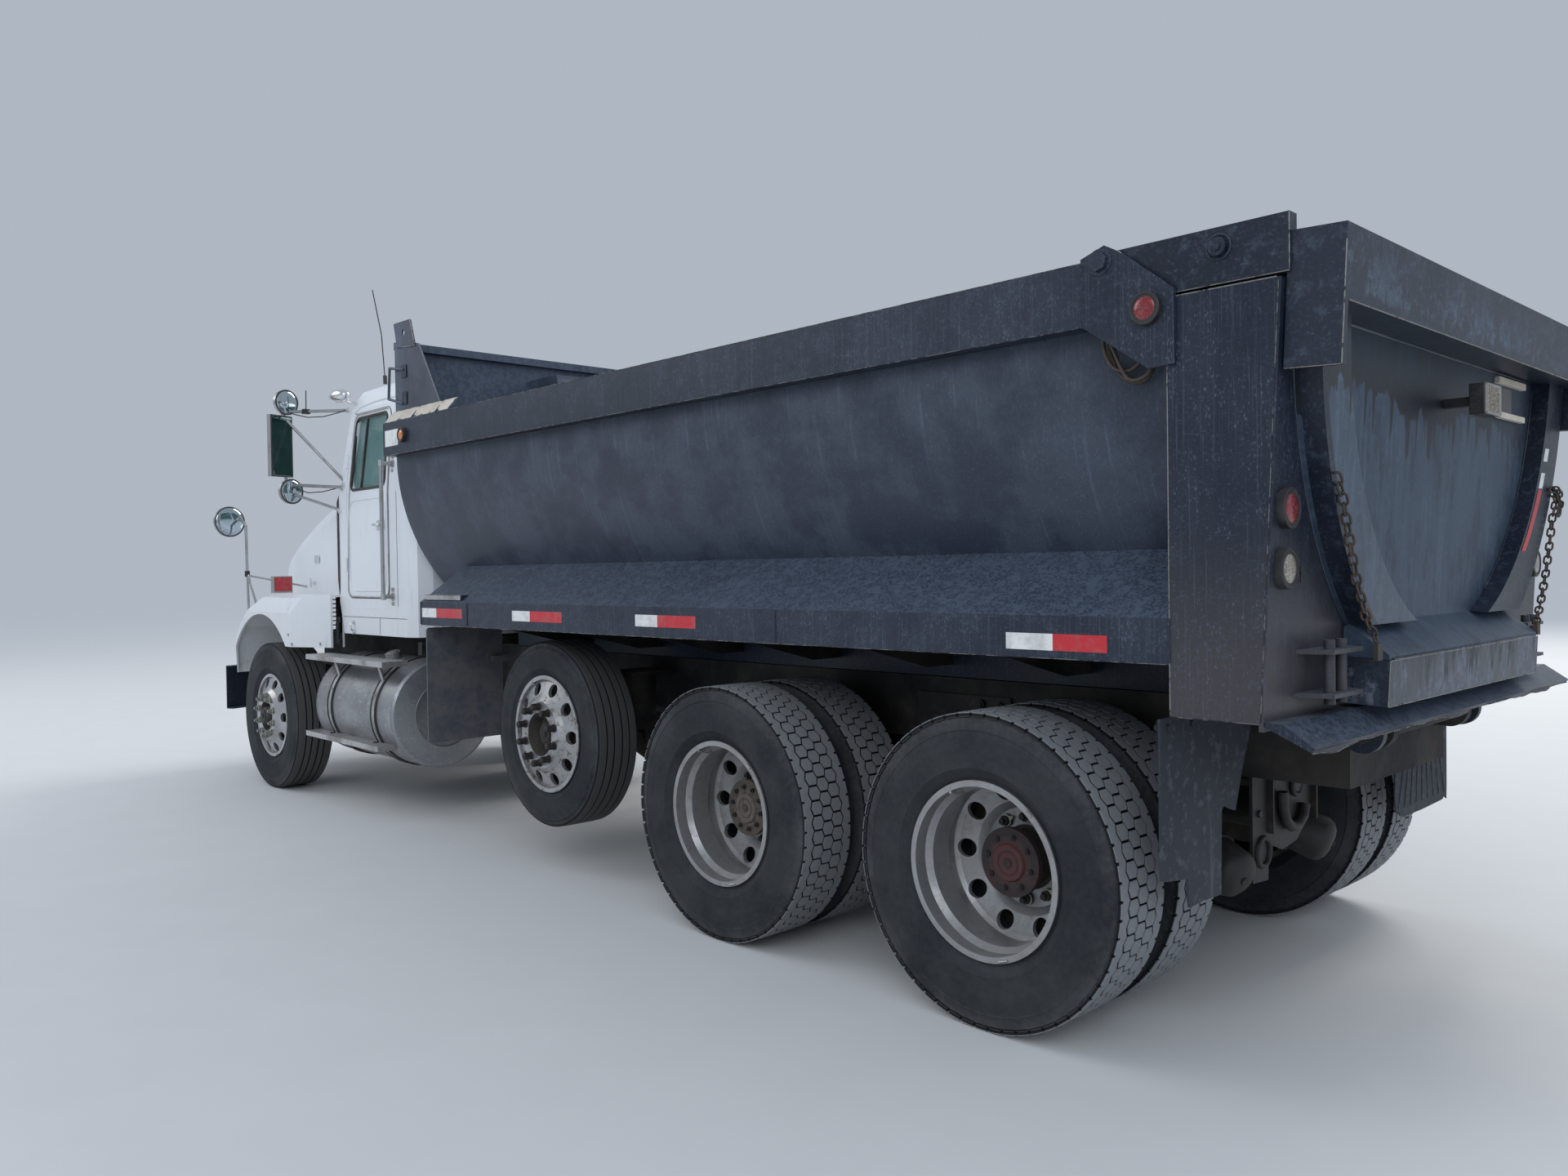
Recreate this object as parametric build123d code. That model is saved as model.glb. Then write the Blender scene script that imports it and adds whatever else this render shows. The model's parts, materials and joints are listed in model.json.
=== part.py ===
from build123d import *
import math
import os

# Conventional-cab dump truck with a half-round bed, a tandem drive axle and a lifted pusher axle.
# Millimetres. X runs forward from the rearmost axle, Y to the left and Z up from the ground.
# Every piece is moved back by ROW_SHIFT_X when it is written, so that X = 0 is the truck's middle.

ROW_SHIFT_X = 3190.0

# Axles: place along X and height of the wheel centres
REAR_X = 0.0
FORWARD_X = 1342.0
PUSHER_X = 2830.0
STEER_X = 6378.0
TYRE_R = 525.0
PUSHER_TYRE_R = 475.0
PUSHER_Z = 705.0

# Rims and tyres, all on 22.5 inch rims
FLANGE_R = 298.5
SEAT_R = 286.0
RIM_HALF = 117.5
BEAD_GAP = 0.3
WELL_R = 270.0
RIM_WALL = 9.0
HAND_HOLES = 10
HAND_HOLE_R = 33.0
HAND_HOLE_CIRCLE = 235.0
BORE_R = 110.0
SINGLE_SET = 145.0
DUAL_SET = 161.0
STEER_CAP = 175.0
PUSHER_CAP = 120.0
STEER_WHEEL_Y = 1079.5
PUSHER_WHEEL_Y = 977.5
OUTER_DUAL_Y = 1084.5
INNER_DUAL_Y = 744.5
DUAL_MEET_Y = 914.5
SPINDLE_R = 45.0
FIT = 0.05

# Steering
KINGPIN_Y = 880.0
KINGPIN_R = 20.0
ARM_BACK = 250.0
TIE_Z = 415.0

# Ladder frame
RAIL_Y = 432.0
RAIL_TOP = 1065.0
RAIL_LOW = 800.0
RAIL_WEB = 9.0
RAIL_FLANGE = 88.0
RAIL_REAR = -880.0
RAIL_FRONT = 7310.0
FLAP_X = -644.0
FLAP_TOP = 1080.0

# Bed: half-round tub between the front wall and the rear frame
HALF_WIDTH = 1219.0
TUB_R = 1150.0
TUB_Z = 2240.0
SHEET = 8.0
BED_FRONT = 4360.0
BED_GAP = 5.0
REAR_PLANE_X = -960.0
REAR_LEAN = 2.8
RAIL_BOX_LOW = 2238.0
RAIL_BOX_TOP = 2431.0
HEADBOARD_TOP = 2920.0
SILL_LOW = 1240.0
SILL_TOP = 1373.0
SILL_FRONT = 3940.0
CREASE_Y = 932.0
CREASE_Z = 1566.0
POST_FRONT = -690.0
POST_LOW = 1092.0
RING_LOW = 1072.0
POST_TOP = 2280.0

# Bed hinge at the tail of the frame
HINGE_X = -930.0
HINGE_Z = 990.0
HINGE_R = 35.0

# Tailgate pivot, high at the sides
GATE_PIVOT_X = -484.0
GATE_PIVOT_Z = 2418.0
GATE_PIVOT_R = 20.0

# Hoist: telescopic cylinder standing in a pocket of the bed's front wall
HOIST_X = 4160.0
HOIST_Z = 900.0
HOIST_EYE_X = 4200.0
HOIST_EYE_Z = 2620.0
HOIST_RADII = (100.0, 84.0, 68.0, 50.0)
HOIST_PIN_R = 30.0
HOIST_LUG_Y = (60.0, 74.0)
POCKET_HALF = 227.0
POCKET_TOP = 2780.0
POCKET_REAR_TOP_X = 4030.0
POCKET_REAR_LOW_X = 3550.0

# Cab
CAB_REAR = 4460.0
CAB_HALF = 1000.0
CAB_WALL = 45.0
CAB_LOW = 1135.0
COWL_X = 5585.0
COWL_Z = 2095.0
DOOR_X = (4812.0, 5458.0)
DOOR_Z = (1374.0, 2615.0)
DOOR_GAP = 6.0
WINDOW_X = (4880.0, 5390.0)
WINDOW_Z = (2110.0, 2572.0)

# Hood: sections from the cowl to the nose
HOOD_WALL = 14.0
HOOD_LOW = 1035.0
HOOD_SECTIONS = (
    # x, half width, shoulder height, crown height
    (5604.0, 985.0, 2085.0, 2140.0),
    (6300.0, 868.0, 1968.0, 2030.0),
    (7000.0, 745.0, 1822.0, 1880.0),
    (7330.0, 700.0, 1706.0, 1745.0),
    (7420.0, 680.0, 1540.0, 1560.0),
)
HOOD_HINGE_X = 7400.0
HOOD_HINGE_Z = 905.0
HOOD_PIN_R = 14.0
ARCH_X = 6550.0
ARCH_Z = 600.0
ARCH_R = 655.0

# Fuel tanks
TANK_Y = 822.0
TANK_Z = 655.0
TANK_R = 340.0
TANK_X = (4430.0, 5690.0)


def box(x, y, z):
    """Block between the low and high values of x, y and z."""
    centre = ((x[0] + x[1]) / 2, (y[0] + y[1]) / 2, (z[0] + z[1]) / 2)
    return Pos(*centre) * Box(x[1] - x[0], y[1] - y[0], z[1] - z[0])


def prism(points, span, axis):
    """Polygon drawn square to an axis and extruded over a span of that axis."""
    low, high = span
    place = {
        "x": lambda a, b: (low, a, b),
        "y": lambda a, b: (a, low, b),
        "z": lambda a, b: (a, b, low),
    }[axis]
    direction = {"x": (1, 0, 0), "y": (0, 1, 0), "z": (0, 0, 1)}[axis]
    face = make_face(Polyline(*[place(a, b) for a, b in points], close=True))
    return extrude(face, amount=high - low, dir=direction)


def rod(start, end, radius):
    """Round bar between two points."""
    a = Vector(*start)
    b = Vector(*end)
    run = b - a
    return Plane(origin=a, z_dir=run) * Cylinder(
        radius, run.length, align=(Align.CENTER, Align.CENTER, Align.MIN)
    )


def bent_rod(points, radius):
    """Round bar through a list of points with ball corners."""
    shape = rod(points[0], points[1], radius)
    for start, end in zip(points[1:], points[2:]):
        shape = shape + rod(start, end, radius) + Pos(*start) * Sphere(radius)
    return shape


def both(shape):
    """The shape and its mirror on the other side of the truck."""
    return shape + mirror(shape, Plane.XZ)


def turned(outline, x, z):
    """Outline of (radius, y) points turned about a wheel's axis."""
    face = make_face(Polyline(*[(x + r, y, z) for r, y in outline], close=True))
    return revolve(face, axis=Axis((x, 0, z), (0, 1, 0)), revolution_arc=360)


def tub_profile(radius, top):
    """Half-round outline with straight sides up to a height, as a face at X = 0."""
    sides = Polyline((0, -radius, TUB_Z), (0, -radius, top), (0, radius, top), (0, radius, TUB_Z))
    bottom = ThreePointArc((0, radius, TUB_Z), (0, 0, TUB_Z - radius), (0, -radius, TUB_Z))
    return make_face(sides.edges() + bottom.edges())


def tub_block(radius, top, x):
    """Solid half-round block over a span of X."""
    return extrude(Pos(x[0], 0, 0) * tub_profile(radius, top), amount=x[1] - x[0], dir=(1, 0, 0))


def leaned(shape):
    """Turns a piece drawn upright at the rear plane to the rear frame's lean."""
    return shape.rotate(Axis((REAR_PLANE_X, 0, POST_LOW), (0, 1, 0)), -REAR_LEAN)


PARTS = {}


def keep(name, shape):
    PARTS[name] = shape


# Wheels and tyres


def tyre(y, radius, half, x, z):
    """Closed tyre body on its rim, round shouldered, without tread."""
    half_outline = (
        # radius, distance from the middle
        (SEAT_R + BEAD_GAP, RIM_HALF - 12.0),
        (FLANGE_R + 4.0, RIM_HALF - 12.0),
        (FLANGE_R + 0.2 * (radius - FLANGE_R), half - 4.0),
        (FLANGE_R + 0.55 * (radius - FLANGE_R), half),
        (radius - 24.0, half - 16.0),
        (radius, half - 38.0),
    )
    outline = [(r, y + d) for r, d in half_outline]
    outline = outline + [(r, y - d) for r, d in reversed(half_outline)]
    return turned(outline, x, z)


def rim(y, side, hub, x, z, holes):
    """Rim with its dished disc. side is +1 or -1, the way in which the disc stands off
    the rim's middle; hub is how far the middle of its flat centre stands off."""
    lip = FLANGE_R - 20.5
    well = WELL_R - RIM_WALL
    outline = (
        # barrel's outer face
        (FLANGE_R, RIM_HALF),
        (FLANGE_R, RIM_HALF - 8.0),
        (SEAT_R, RIM_HALF - 11.0),
        (SEAT_R, 62.0),
        (WELL_R, 45.0),
        (WELL_R, -45.0),
        (SEAT_R, -62.0),
        (SEAT_R, 11.0 - RIM_HALF),
        (FLANGE_R, 8.0 - RIM_HALF),
        (FLANGE_R, -RIM_HALF),
        # barrel's inner face
        (lip, -RIM_HALF),
        (lip, -66.0),
        (well, -44.0),
        (well, 44.0),
        (lip, 66.0),
        # disc's inner face, then its outer face
        (lip, hub - 65.0),
        (well, hub - 55.0),
        (197.0, hub - 32.0),
        (171.0, hub - 9.0),
        (BORE_R, hub - 9.0),
        (BORE_R, hub + 9.0),
        (171.0, hub + 9.0),
        (197.0, hub - 14.0),
        (well, hub - 37.0),
        (lip, hub - 47.0),
        (lip, RIM_HALF),
    )
    shape = turned([(r, y + side * d) for r, d in outline], x, z)
    if holes:
        low, high = sorted((y + side * (hub - 78.0), y + side * (hub + 20.0)))
        for step in range(HAND_HOLES):
            turn = 2 * math.pi * step / HAND_HOLES
            hx = x + HAND_HOLE_CIRCLE * math.cos(turn)
            hz = z + HAND_HOLE_CIRCLE * math.sin(turn)
            shape = shape - rod((hx, low, hz), (hx, high, hz), HAND_HOLE_R)
    return shape


def single_wheel(out, y, cap, x, z):
    """Front or pusher wheel: disc flush with the outer flange, hub with its cap, brake drum."""
    seat = SINGLE_SET - 9.0
    hub = (
        # radius, distance outboard of the rim's middle
        (SPINDLE_R + FIT, -70.0),
        (80.0, -70.0),
        (80.0, -100.0),
        (205.0, -100.0),
        (205.0, 30.0),
        (165.0, 60.0),
        (165.0, seat),
        (BORE_R, seat),
        (BORE_R, 88.0),
        (66.0, 88.0),
        (60.0, cap - 12.0),
        (54.0, cap),
        (0.0, cap),
        (0.0, 95.0),
        (SPINDLE_R + FIT, 95.0),
    )
    return rim(y, out, SINGLE_SET, x, z, True) + turned([(r, y + out * d) for r, d in hub], x, z)


def dual_wheel(out, x, z):
    """Twin rims with their discs back to back, hub with the axle shaft's flange, brake drum."""
    outer = rim(out * OUTER_DUAL_Y, -out, DUAL_SET, x, z, True)
    inner = rim(out * INNER_DUAL_Y, out, DUAL_SET, x, z, False)
    hub = (
        # radius, y
        (SPINDLE_R + FIT, 655.0),
        (215.0, 655.0),
        (215.0, 850.0),
        (165.0, 860.0),
        (165.0, DUAL_MEET_Y - 18.0),
        (BORE_R, DUAL_MEET_Y - 18.0),
        (BORE_R, DUAL_MEET_Y + 18.0),
        (98.0, 938.0),
        (98.0, 1018.0),
        (108.0, 1020.0),
        (108.0, 1040.0),
        (66.0, 1042.0),
        (60.0, 1052.0),
        (0.0, 1052.0),
        (0.0, 980.0),
        (SPINDLE_R + FIT, 980.0),
    )
    return outer + inner + turned([(r, out * d) for r, d in hub], x, z)


def make_wheels():
    for side, out in (("left", 1), ("right", -1)):
        keep(f"wheel_steer_{side}", single_wheel(out, out * STEER_WHEEL_Y, STEER_CAP, STEER_X, TYRE_R))
        keep(f"tyre_steer_{side}", tyre(out * STEER_WHEEL_Y, TYRE_R, 139.5, STEER_X, TYRE_R))
        keep(
            f"wheel_pusher_{side}",
            single_wheel(out, out * PUSHER_WHEEL_Y, PUSHER_CAP, PUSHER_X, PUSHER_Z),
        )
        keep(
            f"tyre_pusher_{side}",
            tyre(out * PUSHER_WHEEL_Y, PUSHER_TYRE_R, 130.0, PUSHER_X, PUSHER_Z),
        )
        for name, x in (("forward", FORWARD_X), ("rear", REAR_X)):
            keep(f"wheels_{name}_{side}", dual_wheel(out, x, TYRE_R))
            pair = tyre(out * OUTER_DUAL_Y, TYRE_R, 139.5, x, TYRE_R)
            pair = pair + tyre(out * INNER_DUAL_Y, TYRE_R, 139.5, x, TYRE_R)
            keep(f"tyres_{name}_{side}", pair)


# Chassis


def channel(y_out, side, x, z):
    """Frame channel, open towards the truck's middle."""
    y_in = y_out - RAIL_FLANGE
    outline = (
        (y_out, z[0]),
        (y_out, z[1]),
        (y_in, z[1]),
        (y_in, z[1] - RAIL_WEB),
        (y_out - RAIL_WEB, z[1] - RAIL_WEB),
        (y_out - RAIL_WEB, z[0] + RAIL_WEB),
        (y_in, z[0] + RAIL_WEB),
        (y_in, z[0]),
    )
    return prism([(side * y, height) for y, height in outline], x, "x")


def make_frame():
    rails = (RAIL_REAR, RAIL_FRONT)
    shape = channel(RAIL_Y, 1, rails, (RAIL_LOW, RAIL_TOP))
    shape = shape + channel(RAIL_Y, -1, rails, (RAIL_LOW, RAIL_TOP))
    inner = RAIL_Y - RAIL_WEB / 2
    for x in (-520.0, 671.0, 2650.0, 3450.0, 4560.0):
        shape = shape + box((x - 40, x + 40), (-inner, inner), (850, 1010))
        shape = shape - box((x - 32, x + 60), (-inner + 60, inner - 60), (858, 1002))
    shape = shape + box((RAIL_REAR, RAIL_REAR + 12), (-inner, inner), (RAIL_LOW, RAIL_TOP))
    shape = shape + rod((7180, -inner, 860), (7180, inner, 860), 42)
    shape = shape + both(box((7290, 7560), (330, RAIL_Y), (560, 840)))
    hinge_cheek = box((HINGE_X, RAIL_REAR + 140), (330, 372), (HINGE_Z - 60, HINGE_Z + 60))
    hinge_cheek = hinge_cheek + rod((HINGE_X, 330, HINGE_Z), (HINGE_X, 372, HINGE_Z), 62)
    shape = shape + both(hinge_cheek)
    shape = shape + rod((HINGE_X, -478, HINGE_Z), (HINGE_X, 478, HINGE_Z), HINGE_R)
    hanger = rod((FLAP_X + 12, RAIL_Y - 5, 1052), (FLAP_X + 12, 1185, 1052), 12)
    hanger = hanger + box((FLAP_X, FLAP_X + 16), (620, 1185), (990, FLAP_TOP - 6))
    shape = shape + both(hanger)
    for x in (HOIST_X - 215, HOIST_X + 185):
        shape = shape + box((x - 15, x + 15), (-inner, inner), (860, 1010))
    cradle = box((HOIST_X - 205, HOIST_X + 175), (120, 134), (860, 1000))
    cradle = cradle + rod((HOIST_X, 110, HOIST_Z), (HOIST_X, 134, HOIST_Z), 48)
    cradle = cradle - rod((HOIST_X, 0, HOIST_Z), (HOIST_X, 300, HOIST_Z), HOIST_PIN_R + FIT)
    shape = shape + both(cradle)
    hood_bracket = box(
        (HOOD_HINGE_X - 25, HOOD_HINGE_X + 20), (328, 350), (HOOD_HINGE_Z - 90, HOOD_HINGE_Z + 22)
    )
    hood_pin = rod((HOOD_HINGE_X, 294, HOOD_HINGE_Z), (HOOD_HINGE_X, 340, HOOD_HINGE_Z), HOOD_PIN_R)
    shape = shape + both(hood_bracket + hood_pin)
    keep("frame", shape)


def make_bumper():
    low, high = 490.0, 830.0
    wall = 8.0
    ring = [(7560.0, -760.0), (7560.0, 760.0), (7410.0, 1175.0), (7402.0, 1171.0), (7552.0, 754.0)]
    ring = ring + [(7552.0, -754.0), (7402.0, -1171.0), (7410.0, -1175.0)]
    shape = prism(ring, (low, high), "z")
    lip = [(7560.0, -760.0), (7560.0, 760.0), (7410.0, 1175.0), (7350.0, 1150.0), (7500.0, 740.0)]
    lip = lip + [(7500.0, -740.0), (7350.0, -1150.0), (7410.0, -1175.0)]
    shape = shape + prism(lip, (high - wall, high), "z") + prism(lip, (low, low + wall), "z")
    shape = shape - both(box((7288, 7562 - wall), (325, RAIL_Y + 5), (555, 845)))
    keep("bumper", shape)


def make_powertrain():
    engine = box((5640, 6860), (-320, 320), (1090, 1640)) + box((5640, 6860), (-230, 230), (760, 1095))
    engine = engine + box((4760, 5645), (-190, 190), (770, 1100))
    joint = (3050, 0, 700)
    engine = engine + rod((4740, 0, 799), joint, 48) + Pos(*joint) * Sphere(70)
    engine = engine + rod(joint, (FORWARD_X + 325, 0, 618), 48)
    radiator = box((7010, 7090), (-420, 420), (900, 1600))
    keep("powertrain", engine + radiator)


def make_front_axle():
    beam = box((STEER_X - 45, STEER_X + 45), (-690, 690), (395, 500))
    beam = beam - both(box((STEER_X + 12, STEER_X + 60), (-10, 700), (417, 478)))
    beam = beam - both(box((STEER_X - 60, STEER_X - 12), (-10, 700), (417, 478)))
    rise = prism([(680, 395), (835, 480), (835, 570), (680, 500)], (STEER_X - 40, STEER_X + 40), "x")
    eye = rod((STEER_X, KINGPIN_Y, 462), (STEER_X, KINGPIN_Y, 588), 48)
    eye = eye + box((STEER_X - 40, STEER_X + 40), (825, KINGPIN_Y), (480, 570))
    eye = eye - rod((STEER_X, KINGPIN_Y, 400), (STEER_X, KINGPIN_Y, 650), KINGPIN_R + FIT)
    shape = beam + both(rise) + both(eye)
    for leaf in range(4):
        half = 720.0 - 150.0 * leaf
        sag = 150.0 * (half / 720.0) ** 2
        low = 560.0 - 16.0 * leaf
        rear, front, tip = STEER_X - half, STEER_X + half, low + sag
        upper = ThreePointArc((rear, 340, tip), (STEER_X, 340, low), (front, 340, tip))
        lower = ThreePointArc((rear, 340, tip - 15), (STEER_X, 340, low - 15), (front, 340, tip - 15))
        ends = Line((rear, 340, tip), (rear, 340, tip - 15)).edges()
        ends = ends + Line((front, 340, tip), (front, 340, tip - 15)).edges()
        edges = upper.edges() + lower.edges() + ends
        shape = shape + both(extrude(make_face(edges), amount=90, dir=(0, 1, 0)))
    seat = box((STEER_X - 60, STEER_X + 60), (335, 435), (498, 515))
    hanger_rear = box((STEER_X - 745, STEER_X - 690), (345, 428), (690, 802))
    hanger_front = box((STEER_X + 690, STEER_X + 745), (345, 428), (690, 802))
    shape = shape + both(seat) + both(hanger_rear) + both(hanger_front)
    keep("front_axle", shape)


def knuckle(side):
    """Forked knuckle about the kingpin, with its spindle and the arm to the tie rod."""
    y = side * KINGPIN_Y
    shape = rod((STEER_X, y, 410), (STEER_X, y, 640), KINGPIN_R)
    for low, high in ((594, 640), (410, 456)):
        shape = shape + rod((STEER_X, y, low), (STEER_X, y, high), 50)
        shape = shape + box((STEER_X - 45, STEER_X + 45), sorted((y, y + side * 80)), (low, high))
    shape = shape + box((STEER_X - 45, STEER_X + 45), sorted((y + side * 52, y + side * 84)), (410, 640))
    shape = shape + rod((STEER_X, y + side * 60, TYRE_R), (STEER_X, y + side * 290, TYRE_R), SPINDLE_R)
    elbow = (STEER_X - ARM_BACK, y, 433)
    shape = shape + rod((STEER_X - 20, y, 433), elbow, 20)
    shape = shape + rod((elbow[0], elbow[1], 440), (elbow[0], elbow[1], 458), 26)
    shape = shape + rod((elbow[0], elbow[1], TIE_Z - 24), (elbow[0], elbow[1], 445), 14)
    return shape


def make_steering():
    keep("knuckle_left", knuckle(1))
    keep("knuckle_right", knuckle(-1))
    x = STEER_X - ARM_BACK
    y = KINGPIN_Y
    eye = rod((x, y, TIE_Z - 22), (x, y, TIE_Z - 4), 30)
    eye = eye - rod((x, y, 300), (x, y, 500), 14 + FIT)
    bar = rod((x, -y + 28, TIE_Z - 13), (x, y - 28, TIE_Z - 13), 17)
    keep("tie_rod", bar + both(eye))


def make_drive_axles():
    shape = None
    for x in (REAR_X, FORWARD_X):
        tube = both(rod((x, 150, TYRE_R), (x, 648, TYRE_R), 72))
        spindle = both(rod((x, 640, TYRE_R), (x, 970, TYRE_R), SPINDLE_R))
        bowl = rod((x - 110, 0, TYRE_R), (x + 130, 0, TYRE_R), 215)
        nose = rod((x + 120, 0, TYRE_R + 60), (x + 330, 0, TYRE_R + 90), 90)
        axle = tube + spindle + bowl + nose
        for y in (-430.0, 430.0):
            chamber = rod((x - 250, y * 0.7, TYRE_R + 20), (x - 90, y * 0.7, TYRE_R + 20), 78)
            axle = axle + chamber + rod((x - 95, y * 0.7, TYRE_R + 10), (x, y * 0.7, TYRE_R), 30)
        shape = axle if shape is None else shape + axle
    shape = shape + rod((REAR_X + 320, 0, TYRE_R + 88), (FORWARD_X - 100, 0, TYRE_R + 60), 45)
    beam = prism(
        [(-70, 440), (1412, 440), (1412, 540), (980, 590), (671, 540), (362, 590), (-70, 540)],
        (470, 560),
        "y",
    )
    saddle = prism([(560, 520), (782, 520), (900, 815), (442, 815)], (445, 540), "y")
    shape = shape + both(beam + saddle)
    for x in (REAR_X, FORWARD_X):
        torque = rod((x, 120, TYRE_R + 200), (x + 420, 330, 860), 26)
        shape = shape + both(torque)
    keep("drive_axles", shape)


def make_pusher_axle():
    shape = rod((PUSHER_X, -420, 545), (PUSHER_X, 420, 545), 62)
    shape = shape + both(Pos(PUSHER_X, 420, 545) * Sphere(62))
    shape = shape + both(rod((PUSHER_X, 420, 545), (PUSHER_X, 640, PUSHER_Z), 62))
    shape = shape + both(Pos(PUSHER_X, 640, PUSHER_Z) * Sphere(62))
    shape = shape + both(rod((PUSHER_X, 640, PUSHER_Z), (PUSHER_X, 790, PUSHER_Z), 62))
    shape = shape + both(rod((PUSHER_X, 780, PUSHER_Z), (PUSHER_X, 1060, PUSHER_Z), SPINDLE_R))
    arm = prism([(2760, 590), (3330, 730), (3330, 800), (2760, 690)], (450, 520), "y")
    hanger = box((3290, 3400), (425, 545), (700, 1010))
    bag = rod((2700, 620, 765), (2700, 620, 990), 105) + box((2590, 2810), (425, 730), (985, 1005))
    bag = bag + box((2680, 2800), (470, 660), (690, 770))
    shape = shape + both(arm + hanger + bag)
    keep("pusher_axle", shape)


def make_tanks():
    length = TANK_X[1] - TANK_X[0]
    bulge = 45.0
    outline = make_face(
        Polyline(
            (TANK_X[0], TANK_Y, TANK_Z),
            (TANK_X[1], TANK_Y, TANK_Z),
            (TANK_X[1] - 12, TANK_Y, TANK_Z + TANK_R * 0.6),
            (TANK_X[1] - bulge, TANK_Y, TANK_Z + TANK_R * 0.96),
            (TANK_X[1] - bulge - 14, TANK_Y, TANK_Z + TANK_R),
            (TANK_X[0] + bulge + 14, TANK_Y, TANK_Z + TANK_R),
            (TANK_X[0] + bulge, TANK_Y, TANK_Z + TANK_R * 0.96),
            (TANK_X[0] + 12, TANK_Y, TANK_Z + TANK_R * 0.6),
            close=True,
        )
    )
    tank = revolve(outline, axis=Axis((TANK_X[0], TANK_Y, TANK_Z), (1, 0, 0)), revolution_arc=360)
    cap_x = TANK_X[0] + 0.42 * length
    tank = tank + rod((cap_x, 905, TANK_Z + 300), (cap_x, 925, TANK_Z + 365), 48)
    keep("fuel_tanks", both(tank))


def make_tank_steps():
    shape = None
    for x in (4730.0, 5400.0):
        strap = rod((x - 28, TANK_Y, TANK_Z), (x + 28, TANK_Y, TANK_Z), TANK_R + 6)
        strap = strap - rod((x - 40, TANK_Y, TANK_Z), (x + 40, TANK_Y, TANK_Z), TANK_R + 0.3)
        bracket = box((x - 30, x + 30), (RAIL_Y, 520), (560, 1050))
        bracket = bracket - rod((x - 60, TANK_Y, TANK_Z), (x + 60, TANK_Y, TANK_Z), TANK_R + 3)
        leg_top = rod((x, 1130, 985), (x, 1090, 850), 11)
        leg_low = rod((x, TANK_Y + 240, TANK_Z - 235), (x, 1150, 478), 11)
        piece = strap + bracket + leg_top + leg_low
        shape = piece if shape is None else shape + piece
    for x, z in (((4480.0, 5670.0), 965.0), ((4560.0, 5690.0), 445.0)):
        step = box(x, (1050 if z > 700 else 1075, 1215), (z, z + 34))
        step = step - box((x[0] + 10, x[1] - 10), (1062 if z > 700 else 1087, 1203), (z - 5, z + 27))
        shape = shape + step
    keep("tank_steps", both(shape))


def make_flaps():
    rear = box((FLAP_X - 8, FLAP_X), (610, 1205), (500, FLAP_TOP))
    guard = box((3905, 3917), (720, 1205), (560, 1225))
    guard = guard + box((3880, 3906), (RAIL_Y, 800), (1000, 1040))
    keep("mud_flaps", both(rear) + both(guard))


# Cab


def cab_block(inset):
    """Cab outline by its side, front and plan views, moved in by an inset."""
    i = inset
    side = [
        (CAB_REAR + i, CAB_LOW + i),
        (CAB_REAR + i, 2640),
        (CAB_REAR + 45 + i, 2775 - i),
        (4760, 2850 - i),
        (5150, 2855 - i),
        (5330 - 0.5 * i, 2800 - i),
        (5420 - 0.8 * i, 2715 - 0.4 * i),
        (COWL_X - i, COWL_Z),
        (COWL_X - i, 1560),
        (COWL_X + 12 - i, 1350),
        (COWL_X - 55 - i, CAB_LOW + i),
    ]
    front = [
        (CAB_HALF - i, CAB_LOW),
        (CAB_HALF - i, 2060),
        (CAB_HALF - 42 - i, 2640),
        (CAB_HALF - 95 - i, 2765 - i),
        (CAB_HALF - 230 - i, 2822 - i),
        (0, 2860 - i),
    ]
    front = front + [(-y, z) for y, z in reversed(front[:-1])]
    r = 120.0 - i
    half = CAB_HALF - i
    rear = CAB_REAR + i
    plan = [(5700, half), (rear + r, half), (rear + 0.29 * r, half - 0.29 * r), (rear, half - r)]
    plan = plan + [(x, -y) for x, y in reversed(plan)]
    shape = prism(side, (-1100, 1100), "y")
    shape = shape & prism(front, (4300, 5800), "x")
    return shape & prism(plan, (1000, 3000), "z")


def rounded_plate(x, z, r, y):
    """Rounded rectangle in side view, extruded across the truck."""
    face = Plane(origin=((x[0] + x[1]) / 2, y[0], (z[0] + z[1]) / 2), x_dir=(1, 0, 0), z_dir=(0, 1, 0))
    plate = face * RectangleRounded(x[1] - x[0], z[1] - z[0], r)
    return extrude(plate, amount=y[1] - y[0], dir=(0, 1, 0))


def inset_pair(span, gap):
    return (span[0] + gap, span[1] - gap)


def pillar_limit(gap):
    """Side view region behind the leaning front pillar, moved back by a gap."""
    front = DOOR_X[1] - gap
    points = [(4000, 1000), (front, 1000), (front, 2200), (5372 - gap, 2640), (4000, 2640)]
    return prism(points, (-1200, 1200), "y")


def make_cab():
    shell = cab_block(0) - cab_block(CAB_WALL)
    reach = (CAB_HALF - 150, CAB_HALF + 50)
    doorway = rounded_plate(DOOR_X, DOOR_Z, 70, reach) & pillar_limit(0)
    windscreen = prism([(5330, 2700), (5495, 2150), (5800, 2150), (5800, 2700)], (40, 880), "y")
    rear_window = box((4400, 4600), (-520, 520), (2130, 2560))
    keep("cab_shell", shell - both(doorway) - both(windscreen) - rear_window)

    door_wall = cab_block(0) - cab_block(CAB_WALL)
    leaf = rounded_plate(inset_pair(DOOR_X, DOOR_GAP), inset_pair(DOOR_Z, DOOR_GAP), 64, reach)
    leaf = leaf & pillar_limit(DOOR_GAP)
    window = rounded_plate(WINDOW_X, WINDOW_Z, 45, reach) & pillar_limit(60)
    door = (door_wall & leaf) - window
    keep("door_left", door)
    keep("door_right", mirror(door, Plane.XZ))

    pane_wall = cab_block(18) - cab_block(24)
    pane = pane_wall & window
    keep("door_glass_left", pane)
    keep("door_glass_right", mirror(pane, Plane.XZ))
    keep("cab_glass", pane_wall & (both(windscreen) + rear_window))


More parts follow.
